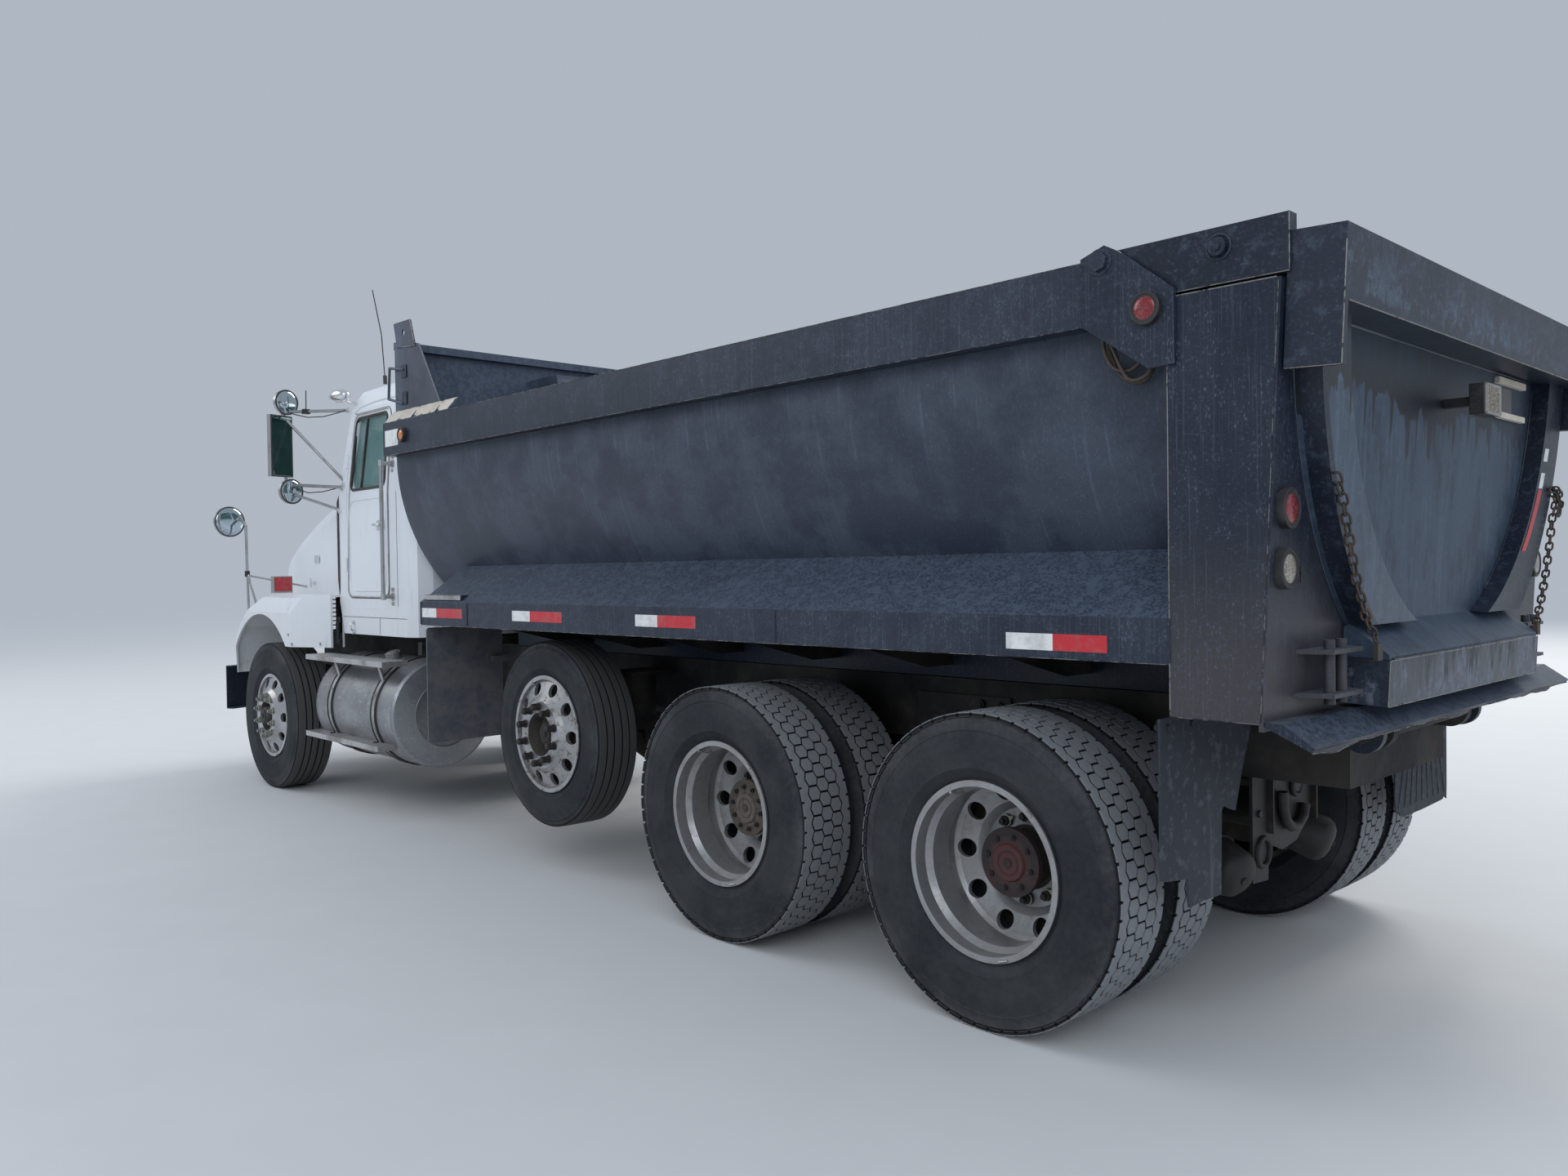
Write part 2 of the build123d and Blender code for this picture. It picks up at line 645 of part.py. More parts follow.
def make_interior():
    seats = None
    for y in (-480.0, 480.0):
        base = box((4800, 5220), (y - 250, y + 250), (1400, 1560))
        back = prism([(4700, 1500), (4830, 1500), (4760, 2200), (4640, 2200)], (y - 240, y + 240), "y")
        post = box((4880, 5140), (y - 170, y + 170), (CAB_LOW + CAB_WALL, 1410))
        head = box((4655, 4735), (y - 130, y + 130), (2190, 2340))
        seat = base + back + post + head
        seats = seat if seats is None else seats + seat
    dash = prism(
        [(5270, 1700), (5530, 1560), (5530, 2040), (5330, 2060), (5250, 1930)], (-930, 930), "y"
    )
    wheel_centre = (5130.0, 480.0, 1930.0)
    hub = Plane(origin=wheel_centre, z_dir=(-0.5, 0, 0.866))
    wheel = hub * Torus(215, 16)
    wheel = wheel + hub * Cylinder(55, 30)
    wheel = wheel + hub * Box(425, 34, 14) + hub * Box(34, 425, 14)
    column = rod(wheel_centre, (5310, 480, 1625), 32)
    keep("cab_interior", seats + dash + wheel + column)


def make_cab_mirrors():
    shape = None
    head_centre = Vector(5850, 1290, 2420)
    turn = Plane(origin=head_centre, x_dir=(-0.34, 0.94, 0), z_dir=(0, 0, 1))
    head = turn * Box(178, 34, 420)
    shape = head
    for z, y in ((2722.0, 1250.0), (2112.0, 1228.0)):
        shape = shape + rod((5862, y, z), (5835, y - 6, z), 85)
    spine_top = (5880, 1262, 2745)
    spine_low = (5880, 1240, 2090)
    shape = shape + rod(spine_top, spine_low, 11)
    shape = shape + rod((5880, 1256, 2660), (5500, 950, 2655), 11)
    shape = shape + rod((5880, 1256, 2630), (5505, 962, 2140), 10)
    shape = shape + rod((5880, 1243, 2160), (5515, 990, 2130), 11)
    shape = shape + rod((5880, 1240, 2110), (5560, 995, 1975), 10)
    grab = bent_rod(
        [(4770, 990, 2235), (4770, 1065, 2235), (4770, 1065, 1390), (4770, 990, 1390)], 13
    )
    keep("cab_mirrors", both(shape + grab))

    whip = bent_rod([(5030, 905, 2785), (5030, 925, 3100), (5040, 976, 3386)], 3.5)
    whip = whip + rod((5030, 905, 2780), (5030, 906.5, 2835), 13)
    stub = rod((5742, 1150, 2650), (5738, 1150, 2800), 3.5)
    stub = stub + box((5722, 5762), (1128, 1172), (2640, 2672))
    keep("antennas", whip + stub)


# Hood


def hood_loft(inset, low):
    faces = []
    for x, half, shoulder, crown in HOOD_SECTIONS:
        w = half - inset
        s = shoulder - inset
        c = crown - inset
        right = [
            (w, low),
            (w, s - 110),
            (w - 28, s - 35),
            (w - 95, s + 0.35 * (c - s)),
            (0.45 * w, c - 0.12 * (c - s)),
        ]
        points = right + [(0, c)] + [(-y, z) for y, z in reversed(right)]
        faces.append(make_face(Polyline(*[(x, y, z) for y, z in points], close=True)))
    return loft(faces, ruled=True)


def fender_block(inset, low):
    """Solid of the left fender in side view, with its outer edge rounded in the front view."""
    i = inset
    side = [
        (5606, low),
        (5606, 1395 - i),
        (6330, 1405 - i),
        (6590, 1380 - i),
        (6800, 1292 - i),
        (6985, 1160 - i),
        (7125 - i, 990),
        (7205 - i, 850),
        (7210 - i, low),
    ]
    front = [
        (600, low),
        (600, 1420),
        (1090 - i, 1420 - i),
        (1165 - i, 1375 - i),
        (1205 - i, 1270 - i),
        (1212 - i, low),
    ]
    plan = [
        (5600, 600),
        (5600, 1062 - i),
        (5960, 1206 - i),
        (7060, 1212 - i),
        (7220, 1150 - i),
        (7220, 600),
    ]
    shape = prism(side, (500, 1300), "y") & prism(front, (5500, 7300), "x")
    return shape & prism(plan, (low - 100, 1500), "z")


def make_hood():
    outer = hood_loft(0, HOOD_LOW) + both(fender_block(0, 790))
    below = box((5590, 6100), (-1300, 1300), (700, HOOD_LOW))
    inner = hood_loft(HOOD_WALL, 700) & box((5500, 7406), (-1200, 1200), (600, 2500))
    wells = both(fender_block(HOOD_WALL, 700))
    arch = both(rod((ARCH_X, 640, ARCH_Z), (ARCH_X, 1300, ARCH_Z), ARCH_R))
    grille_hole = box((7300, 7500), (-400, 400), (1065, 1520))
    shape = outer - inner - wells - arch - below - grille_hole
    cheek = box((HOOD_HINGE_X - 35, 7412), (300, 324), (HOOD_HINGE_Z - 35, 1062))
    cheek = cheek - rod(
        (HOOD_HINGE_X, 290, HOOD_HINGE_Z), (HOOD_HINGE_X, 330, HOOD_HINGE_Z), HOOD_PIN_R + FIT
    )
    keep("hood_shell", shape + both(cheek))

    grille = box((7396, 7432), (-415, 415), (1050, 1535)) - box((7380, 7440), (-385, 385), (1080, 1505))
    bars = 12
    for step in range(1, bars):
        z = 1080 + step * (1505 - 1080) / bars
        grille = grille + box((7400, 7426), (-390, 390), (z - 5, z + 5))
    for y in (-195.0, 0.0, 195.0):
        grille = grille + box((7398, 7412), (y - 6, y + 6), (1075, 1510))
    keep("grille", grille)

    lamp = box((7150, 7215), (790, 1060), (930, 1110))
    marker = box((6440, 6500), (1005, 1140), (1408, 1530))
    keep("hood_lamps", both(lamp) + both(marker))

    disc = rod((7310, 1165, 1962), (7285, 1162, 1962), 118)
    fork = (7150, 1085, 1560)
    stalk = bent_rod([(7305, 1150, 1962), (7270, 1090, 1990), (7160, 1085, 1930), fork], 11)
    stalk = stalk + rod(fork, (7115, 1085, 930), 9) + rod(fork, (6905, 1065, 1160), 9)
    stalk = stalk + rod((7150, 1085, 1540), (6620, 740, 1430), 7)
    keep("fender_mirrors", both(disc + stalk) - outer)


# Bed


def make_tub():
    rear = REAR_PLANE_X - 60
    shell = tub_block(TUB_R, RAIL_BOX_TOP, (rear, BED_FRONT))
    shell = shell - tub_block(TUB_R - SHEET, RAIL_BOX_TOP + 50, (rear - 10, BED_FRONT - SHEET))
    wall = box((BED_FRONT - SHEET, BED_FRONT), (-TUB_R, TUB_R), (RAIL_BOX_TOP - 5, HEADBOARD_TOP))
    cap = box((BED_FRONT - 45, BED_FRONT + 12), (-TUB_R, TUB_R), (HEADBOARD_TOP - 45, HEADBOARD_TOP))
    gusset = prism(
        [(4360, 2425), (4360, 2918), (4318, 2918), (4046, 2870), (3750, 2425)],
        (TUB_R - SHEET, TUB_R),
        "y",
    )
    bracket = prism(
        [(4318, 2880), (4355, 3030), (4148, 3026), (4088, 2860)], (TUB_R - 6, TUB_R + 4), "y"
    )
    bracket = bracket - rod((4235, 1100, 2960), (4235, 1200, 2960), 18)
    handle = bent_rod(
        [(4235, 1155, 2742), (4400, 1165, 2770), (4420, 1165, 2587), (4250, 1155, 2545)], 8
    )
    ledge = prism(
        [(HALF_WIDTH, RAIL_BOX_TOP - 4), (HALF_WIDTH, RAIL_BOX_TOP), (TUB_R, 2506), (TUB_R, 2425)],
        (3570, 4385),
        "x",
    )
    shape = shell + wall + cap + both(gusset + bracket + handle) + both(ledge)
    pocket = [
        (BED_FRONT, 1000),
        (BED_FRONT, POCKET_TOP),
        (POCKET_REAR_TOP_X, POCKET_TOP),
        (POCKET_REAR_LOW_X, TUB_Z - TUB_R),
        (POCKET_REAR_LOW_X, 1000),
    ]
    room = [
        (BED_FRONT + 20, 1000),
        (BED_FRONT + 20, POCKET_TOP - SHEET),
        (POCKET_REAR_TOP_X + SHEET, POCKET_TOP - SHEET),
        (POCKET_REAR_LOW_X + SHEET, TUB_Z - TUB_R),
        (POCKET_REAR_LOW_X + SHEET, 1000),
    ]
    half = POCKET_HALF + SHEET
    casing = prism(pocket, (-half, half), "y") & tub_block(TUB_R, 3000, (3000, BED_FRONT))
    shape = shape + casing - prism(room, (-POCKET_HALF, POCKET_HALF), "y")
    x, z = HOIST_EYE_X, HOIST_EYE_Z
    lug = box((x - 60, x + 60), HOIST_LUG_Y, (z - 20, POCKET_TOP - SHEET + 1))
    lug = lug + rod((x, HOIST_LUG_Y[0], z), (x, HOIST_LUG_Y[1], z), 60)
    lug = lug - rod((HOIST_EYE_X, 0, HOIST_EYE_Z), (HOIST_EYE_X, 200, HOIST_EYE_Z), HOIST_PIN_R + FIT)
    shape = shape + both(lug)
    lean_cut = leaned(box((REAR_PLANE_X - 400, REAR_PLANE_X), (-1400, 1400), (900, 2700)))
    keep("bed_tub", shape - lean_cut)


def make_bed_sides():
    top_rail = box((-420, 4390), (TUB_R + 0.2, HALF_WIDTH), (RAIL_BOX_LOW, RAIL_BOX_TOP))
    top_rail = top_rail - box(
        (-410, 4380), (TUB_R + 6, HALF_WIDTH - 6), (RAIL_BOX_LOW + 6, RAIL_BOX_TOP - 6)
    )
    sill = box((POST_FRONT, SILL_FRONT), (HALF_WIDTH - 6, HALF_WIDTH), (SILL_LOW, SILL_TOP))
    sill = sill + box((POST_FRONT, SILL_FRONT), (HALF_WIDTH - 70, HALF_WIDTH), (SILL_LOW, SILL_LOW + 6))
    slope = prism(
        [
            (HALF_WIDTH, SILL_TOP),
            (HALF_WIDTH - 6, SILL_TOP - 8),
            (CREASE_Y - 10, CREASE_Z - 1),
            (CREASE_Y + 4, CREASE_Z + 8),
        ],
        (POST_FRONT, SILL_FRONT),
        "x",
    )
    flange = prism(
        [
            (HALF_WIDTH, SILL_TOP),
            (HALF_WIDTH, SILL_LOW),
            (HALF_WIDTH - 60, SILL_LOW),
            (880, 1500),
            (CREASE_Y, CREASE_Z),
        ],
        (SILL_FRONT - 8, SILL_FRONT),
        "x",
    )
    cut = tub_block(TUB_R + 0.2, 2500, (-1200, 4500))
    bar = box((3480, 3900), (1150, 1212), (1383, 1411))
    sides = top_rail + (sill + slope + flange - cut)
    keep("bed_sides", both(sides + bar))


def make_rear_frame():
    outline = box((REAR_PLANE_X, REAR_PLANE_X + 12), (-HALF_WIDTH, HALF_WIDTH), (RING_LOW, POST_TOP))
    ring = leaned(outline - tub_block(TUB_R + 0.2, 2600, (-1100, -900)))
    post_side = prism(
        [(POST_FRONT, POST_LOW), (POST_FRONT, POST_TOP), (-1010, POST_TOP), (-952, POST_LOW)],
        (HALF_WIDTH - 8, HALF_WIDTH),
        "y",
    )
    post_front = box((POST_FRONT - 8, POST_FRONT), (500, HALF_WIDTH), (POST_LOW, POST_TOP))
    post_low = box((-952, POST_FRONT), (380, HALF_WIDTH), (POST_LOW, POST_LOW + 8))
    post_top = box((-1008, POST_FRONT), (1160, HALF_WIDTH), (POST_TOP - 8, POST_TOP))
    cut = tub_block(TUB_R + 0.2, 2600, (-965, 0))
    posts = both(post_side + (post_front + post_low + post_top) - cut)
    plate = prism(
        [
            (-420, 2438),
            (-500, 2465),
            (-545, 2440),
            (-720, 2300),
            (-720, 2090),
            (-640, 2085),
            (-420, 2238),
        ],
        (HALF_WIDTH, HALF_WIDTH + 12),
        "y",
    )
    plate = plate + rod(
        (GATE_PIVOT_X, 1160, GATE_PIVOT_Z), (GATE_PIVOT_X, HALF_WIDTH + 26, GATE_PIVOT_Z), GATE_PIVOT_R
    )
    plate = plate + box((-720, POST_FRONT + 5), (HALF_WIDTH - 6, HALF_WIDTH + 2), (2090, POST_TOP - 10))
    shape = ring + posts + both(plate)
    for z in (1150.0, 1272.0):
        clevis = prism([(-955, 745), (-955, 1040), (-1060, 1000), (-1060, 800)], (z, z + 12), "z")
        shape = shape + both(clevis)
    shape = shape + both(rod((-1030, 880, 1130), (-1030, 880, 1310), 15))
    shape = shape + both(rod((-1030, 960, 1130), (-1030, 960, 1310), 15))
    keep("bed_rear_frame", shape)


def make_subframe():
    top = RAIL_TOP + BED_GAP
    sill = box((HINGE_X - 15, 4200), (352, 440), (top, 1230))
    lug = box((HINGE_X - 15, HINGE_X + 200), (440, 470), (HINGE_Z, 1230))
    lug = lug + rod((HINGE_X, 440, HINGE_Z), (HINGE_X, 470, HINGE_Z), 66)
    lug = lug - rod((HINGE_X, 300, HINGE_Z), (HINGE_X, 500, HINGE_Z), HINGE_R + FIT)
    apron = prism(
        [(-962, 1098), (-962, 1086), (-1085, 1030), (-1095, 1040), (-1010, 1098)], (-1215, 1215), "y"
    )
    under_tub = tub_block(TUB_R + 0.2, 2500, (-1200, 4500))
    keep("bed_subframe", (both(sill + lug) - under_tub) + apron)

    ribs = None
    for x in (0.0, 1100.0, 2200.0, 3300.0):
        member = box((x - 40, x + 40), (-352, 352), (top, RAIL_TOP + 90))
        ribs = member if ribs is None else ribs + member
    outline = [
        (440, 1120),
        (440, 1300),
        (930, 1500),
        (HALF_WIDTH - 8, SILL_LOW + 100),
        (HALF_WIDTH - 8, SILL_LOW + 8),
        (1100, SILL_LOW + 8),
        (600, 1120),
    ]
    for x in (-600.0, 60.0, 720.0, 1380.0, 2040.0, 2700.0, 3360.0):
        ribs = ribs + both(prism(outline, (x - 5, x + 5), "x"))
    keep("bed_ribs", ribs - under_tub)


def make_bed_lamps():
    lamps = None
    table = (
        # start, end, radius
        ((4115, HALF_WIDTH, 2341), (4115, HALF_WIDTH + 22, 2341), 42),
        ((-636, HALF_WIDTH + 12, 2256), (-636, HALF_WIDTH + 28, 2256), 48),
        ((-985, 1145, 1672), (-1010, 1145, 1672), 56),
        ((-978, 1145, 1510), (-1003, 1145, 1510), 56),
    )
    for start, end, radius in table:
        lamp = rod(start, end, radius)
        lamps = lamp if lamps is None else lamps + lamp
    keep("bed_lamps", both(lamps))


# Tailgate


def make_gate():
    rear = REAR_PLANE_X - 6
    opening = tub_block(TUB_R, 2600, (rear - 200, rear + 10))
    plate = opening & box((rear - 14, rear), (-1200, 1200), (1335, 2210))
    kick = prism(
        [(rear, 1335), (rear - 14, 1345), (rear - 130, 1262), (rear - 130, 1248), (rear, 1248)],
        (-725, 725),
        "y",
    )
    keep("gate_panel", leaned(plate + kick))

    beam = box((rear - 150, rear), (-1200, 1200), (2205, 2400))
    low_box = box((rear - 135, rear), (-730, 730), (1112, 1247))
    hole = tub_block(TUB_R - 190, 2600, (rear - 200, rear + 10))
    ring = (opening - hole) & box((rear - 75, rear - 14), (-1200, 1200), (1345, 2210))
    corner = box((rear - 150, rear), (1175, 1200), (2040, 2210))
    shape = leaned(beam + low_box + ring + both(corner))
    arm = box((-1035, GATE_PIVOT_X), (1163, 1208), (2292, 2448))
    arm = arm + rod((GATE_PIVOT_X, 1163, GATE_PIVOT_Z), (GATE_PIVOT_X, 1208, GATE_PIVOT_Z), 48)
    arm = arm - box((-560, -400), (1100, 1250), (2280, 2330))
    arm = arm - rod(
        (GATE_PIVOT_X, 1100, GATE_PIVOT_Z), (GATE_PIVOT_X, 1300, GATE_PIVOT_Z), GATE_PIVOT_R + FIT
    )
    arm = arm + rod((-841, 1200, 2392), (-841, 1222, 2392), 26)
    keep("gate_frame", shape + both(arm))

    lamp = box((-1175, -1120), (-75, 75), (1995, 2095)) + box((-1125, -1020), (-20, 20), (2030, 2060))
    keep("gate_lamp", lamp)


def chain_link(centre, along, turn, length, width, bar):
    """Plain oval link: four bars round an open middle."""
    frame = Plane(origin=centre, z_dir=along).rotated((0, 0, turn))
    link = frame * Box(width, bar, length)
    return link - frame * Box(width - 2 * bar, bar * 2, length - 2 * bar)


def make_chains():
    shape = None
    top = Vector(-1098, 935, 1690)
    low = Vector(-1112, 700, 1330)
    count = 12
    run = low - top
    pitch = run.length / count
    for step in range(count):
        centre = top + run * ((step + 0.5) / count)
        link = chain_link(centre, run, 90.0 * (step % 2), pitch + 12.0, 34.0, 8.0)
        shape = link if shape is None else shape + link
    keep("gate_chains", both(shape))


# Hoist


def make_hoist():
    """Telescopic cylinder pushed in: barrel on its trunnion and three stages, the last with the eye."""
    base = Vector(HOIST_X, 0, HOIST_Z)
    eye = Vector(HOIST_EYE_X, 0, HOIST_EYE_Z)
    run = (eye - base).normalized()
    names = ("hoist_barrel", "hoist_stage_1", "hoist_stage_2", "hoist_stage_3")
    top = (eye - base).length - 90
    for step, name in enumerate(names):
        start = 45 + 18 * step
        end = top - 18 * (3 - step)
        tube = rod(base + run * start, base + run * end, HOIST_RADII[step])
        if step == 0:
            tube = tube + rod((HOIST_X, -104, HOIST_Z), (HOIST_X, 104, HOIST_Z), 52)
            tube = tube + rod((HOIST_X, -132, HOIST_Z), (HOIST_X, 132, HOIST_Z), HOIST_PIN_R)
        if step < 3:
            bore = HOIST_RADII[step + 1] + FIT
            tube = tube - rod(base + run * (start + 12), base + run * (end + 20), bore)
        else:
            tube = tube + rod(base + run * (end - 5), eye, 40)
            tube = tube + rod(eye + Vector(0, -48, 0), eye + Vector(0, 48, 0), 46)
        keep(name, tube)


# A piece gives way to the piece that it is welded, bolted or seated against
SEATED = (
    # piece, piece that keeps its shape
    ("mud_flaps", "frame"),
    ("front_axle", "frame"),
    ("pusher_axle", "frame"),
    ("bumper", "frame"),
    ("powertrain", "frame"),
    ("drive_axles", "powertrain"),
    ("tank_steps", "fuel_tanks"),
    ("tank_steps", "frame"),
    ("cab_mirrors", "cab_shell"),
    ("antennas", "cab_shell"),
    ("antennas", "cab_mirrors"),
    ("hood_lamps", "hood_shell"),
    ("grille", "hood_shell"),
    ("bed_sides", "bed_tub"),
    ("bed_rear_frame", "bed_tub"),
    ("bed_rear_frame", "bed_sides"),
    ("bed_subframe", "bed_rear_frame"),
    ("bed_subframe", "bed_sides"),
    ("bed_ribs", "bed_subframe"),
    ("bed_ribs", "bed_sides"),
    ("bed_ribs", "bed_rear_frame"),
    ("bed_lamps", "bed_rear_frame"),
    ("gate_frame", "gate_panel"),
    ("gate_lamp", "gate_panel"),
)


make_wheels()
make_frame()
make_bumper()
make_powertrain()
make_front_axle()
make_steering()
make_drive_axles()
make_pusher_axle()
make_tanks()
make_tank_steps()
make_flaps()
make_cab()
make_interior()
make_cab_mirrors()
make_hood()
make_tub()
make_bed_sides()
make_rear_frame()
make_subframe()
make_bed_lamps()
make_gate()
make_chains()
make_hoist()

for piece, keeper in SEATED:
    PARTS[piece] = PARTS[piece] - PARTS[keeper]

os.makedirs("parts", exist_ok=True)
for name, shape in PARTS.items():
    placed = Pos(-ROW_SHIFT_X, 0, 0) * shape
    export_step(placed, f"parts/{name}.step")
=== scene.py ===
import json
import math

import bmesh
import bpy
from mathutils import Matrix, Vector


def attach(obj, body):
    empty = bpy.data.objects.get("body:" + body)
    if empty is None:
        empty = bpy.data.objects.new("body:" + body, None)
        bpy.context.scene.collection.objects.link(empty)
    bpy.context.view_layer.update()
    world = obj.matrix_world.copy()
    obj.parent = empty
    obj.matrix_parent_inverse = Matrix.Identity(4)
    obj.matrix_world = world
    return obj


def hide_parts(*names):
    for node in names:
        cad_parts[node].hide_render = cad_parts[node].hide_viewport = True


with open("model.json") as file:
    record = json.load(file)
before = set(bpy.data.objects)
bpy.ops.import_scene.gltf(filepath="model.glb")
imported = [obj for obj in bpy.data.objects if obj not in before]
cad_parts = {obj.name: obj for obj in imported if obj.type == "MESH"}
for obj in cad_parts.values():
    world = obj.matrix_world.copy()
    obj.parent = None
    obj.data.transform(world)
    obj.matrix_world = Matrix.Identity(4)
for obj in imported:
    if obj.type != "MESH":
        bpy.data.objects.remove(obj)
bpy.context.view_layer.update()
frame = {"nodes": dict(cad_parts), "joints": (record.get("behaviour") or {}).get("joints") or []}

# Places are given from the rearmost axle, X forward, Y left, Z up, in metres.
WHEELS = {j["name"]: j["pos_m"] for j in frame["joints"] if j["name"].startswith("roll")}
REAR_AXLE_X, DUAL_Y, WHEEL_Z = WHEELS["roll_rear_left"]
FORWARD_X = WHEELS["roll_forward_left"][0] - REAR_AXLE_X
PUSHER_X = WHEELS["roll_pusher_left"][0] - REAR_AXLE_X
PUSHER_WHEEL_Y, PUSHER_Z = WHEELS["roll_pusher_left"][1:]
STEER_X = WHEELS["roll_steer_left"][0] - REAR_AXLE_X
STEER_WHEEL_Y = WHEELS["roll_steer_left"][1]

# Camera found from the wheel rims
CAMERA_PLACE = (-2.368, 4.293, 1.528)
CAMERA_YAW = 0.754
CAMERA_PITCH = -0.016
CAMERA_ROLL = -0.0145
FOCAL_PIXELS = 1436.0
IMAGE_WIDTH = 1920.0
SENSOR_WIDTH = 36.0

# Truck sizes that the trim is fitted to
SIDES = (("left", 1), ("right", -1))
LEFTWARD = Vector((0, 1, 0))
TYRE_R = 0.525
TYRE_HALF = 0.1395
PUSHER_TYRE_R = 0.475
PUSHER_TYRE_HALF = 0.130
FLANGE_R = 0.2985
RIM_HALF = 0.1175
OUTER_DUAL_Y = DUAL_Y + 0.170
INNER_DUAL_Y = DUAL_Y - 0.170
HALF_WIDTH = 1.219
TUB_R = 1.150
TUB_Z = 2.240
GATE_R = 0.960
REAR_PLANE_X = -0.960
REAR_LEAN = math.radians(2.8)
POST_LOW = 1.092
FLAP_X = -0.644


def at(x, y, z):
    """Place in the row's frame of a point given from the rearmost axle."""
    return Vector((REAR_AXLE_X + x, y, z))


# Shader expressions


class Field:
    """A shader socket that takes part in plain arithmetic."""

    def __init__(self, finish, socket):
        self.finish = finish
        self.socket = socket

    def math(self, operation, *values):
        node = self.finish.node("ShaderNodeMath", {"operation": operation}, dict(enumerate(values)))
        return Field(self.finish, node.outputs[0])

    def __add__(self, other):
        return self.math("ADD", self, other)

    def __sub__(self, other):
        return self.math("SUBTRACT", self, other)

    def __rsub__(self, other):
        return self.math("SUBTRACT", other, self)

    def __mul__(self, other):
        return self.math("MULTIPLY", self, other)

    def __pow__(self, other):
        return self.math("POWER", self, other)

    __radd__ = __add__
    __rmul__ = __mul__

    def low(self, other):
        return self.math("MINIMUM", self, other)

    def step(self, start, end):
        """Smooth rise from 0 at start to 1 at end, also where end is the lower."""
        values = {"Value": self, "From Min": start, "From Max": end, "To Min": 0.0, "To Max": 1.0}
        node = self.finish.node("ShaderNodeMapRange", {"interpolation_type": "SMOOTHSTEP"}, values)
        return Field(self.finish, node.outputs["Result"])


class Finish:
    """One procedural material: makes nodes, joins them and sets the shader's sockets."""

    def __init__(self, name):
        self.material = bpy.data.materials.new(name)
        self.material.use_nodes = True
        self.tree = self.material.node_tree
        self.shader = next(n for n in self.tree.nodes if n.type == "BSDF_PRINCIPLED")

    def put(self, socket, value):
        if isinstance(value, Field):
            self.tree.links.new(value.socket, socket)
        elif socket.type == "RGBA":
            socket.default_value = (*value, 1.0)
        else:
            socket.default_value = value

    def node(self, kind, settings, values):
        made = self.tree.nodes.new(kind)
        for key, value in settings.items():
            setattr(made, key, value)
        for key, value in values.items():
            self.put(made.inputs[key], value)
        return made

    def place(self, stretch=None):
        """Surface place in metres, fixed to the piece, or that place stretched along the axes."""
        place = Field(self, self.node("ShaderNodeTexCoord", {}, {}).outputs["Object"])
        if stretch is None:
            return place
        node = self.node("ShaderNodeVectorMath", {"operation": "MULTIPLY"}, {0: place, 1: stretch})
        return Field(self, node.outputs[0])

    def part(self, vector, axis):
        node = self.node("ShaderNodeSeparateXYZ", {}, {"Vector": vector})
        return Field(self, node.outputs[axis])

    def axis(self, name):
        return self.part(self.place(), name)

    def up(self):
        """How far the surface faces upwards, from -1 to 1."""
        node = self.node("ShaderNodeNewGeometry", {}, {})
        return self.part(Field(self, node.outputs["Normal"]), "Z")

    def noise(self, scale, detail=4.0, roughness=0.55, stretch=None, distortion=0.0):
        values = {"Vector": self.place(stretch), "Scale": scale, "Detail": detail}
        values.update({"Roughness": roughness, "Distortion": distortion})
        return Field(self, self.node("ShaderNodeTexNoise", {}, values).outputs["Fac"])

    def cells(self, scale, stretch=None, feature="F1"):
        values = {"Vector": self.place(stretch), "Scale": scale}
        node = self.node("ShaderNodeTexVoronoi", {"feature": feature}, values)
        return Field(self, node.outputs["Distance"])

    def blend(self, mask, under, over):
        node = self.node("ShaderNodeMix", {"data_type": "RGBA"}, {"Factor": mask, "A": under, "B": over})
        return Field(self, node.outputs["Result"])

    def bump(self, height, strength, distance):
        values = {"Height": height, "Strength": strength, "Distance": distance}
        self.set(Normal=Field(self, self.node("ShaderNodeBump", {}, values).outputs["Normal"]))

    def set(self, **sockets):
        for name, value in sockets.items():
            self.put(self.shader.inputs[name.replace("_", " ")], value)
        return self.material


def cab_white():
    f = Finish("cab_white")
    fine = f.noise(9.0, 6.0, 0.6)
    low_dust = f.axis("Z").step(1.75, 1.05) * (fine * 0.8 + 0.25)
    runs = f.noise(2.0, 5.0, 0.6, (9.0, 9.0, 0.9)).step(0.56, 0.74) * 0.28
    lying = f.up().step(0.5, 0.95) * (0.05 + fine.step(0.40, 0.75) * 0.10)
    speck = f.cells(70.0).step(0.13, 0.06) * f.noise(1.7, 3.0).step(0.52, 0.66)
    grime = (low_dust * 0.34 + runs + lying).low(0.8)
    colour = f.blend(grime, (0.70, 0.73, 0.76), (0.34, 0.33, 0.30))
    colour = f.blend(speck * 0.8, colour, (0.13, 0.11, 0.09))
    f.bump(f.noise(260.0, 2.0) * 0.4 + fine, 0.05, 0.002)
    return f.set(
        Base_Color=colour,
        Roughness=0.32 + grime * 0.45 + speck * 0.3,
        Coat_Weight=0.38 - grime * 0.34,
        Coat_Roughness=0.20,
        Specular_IOR_Level=0.5,
    )


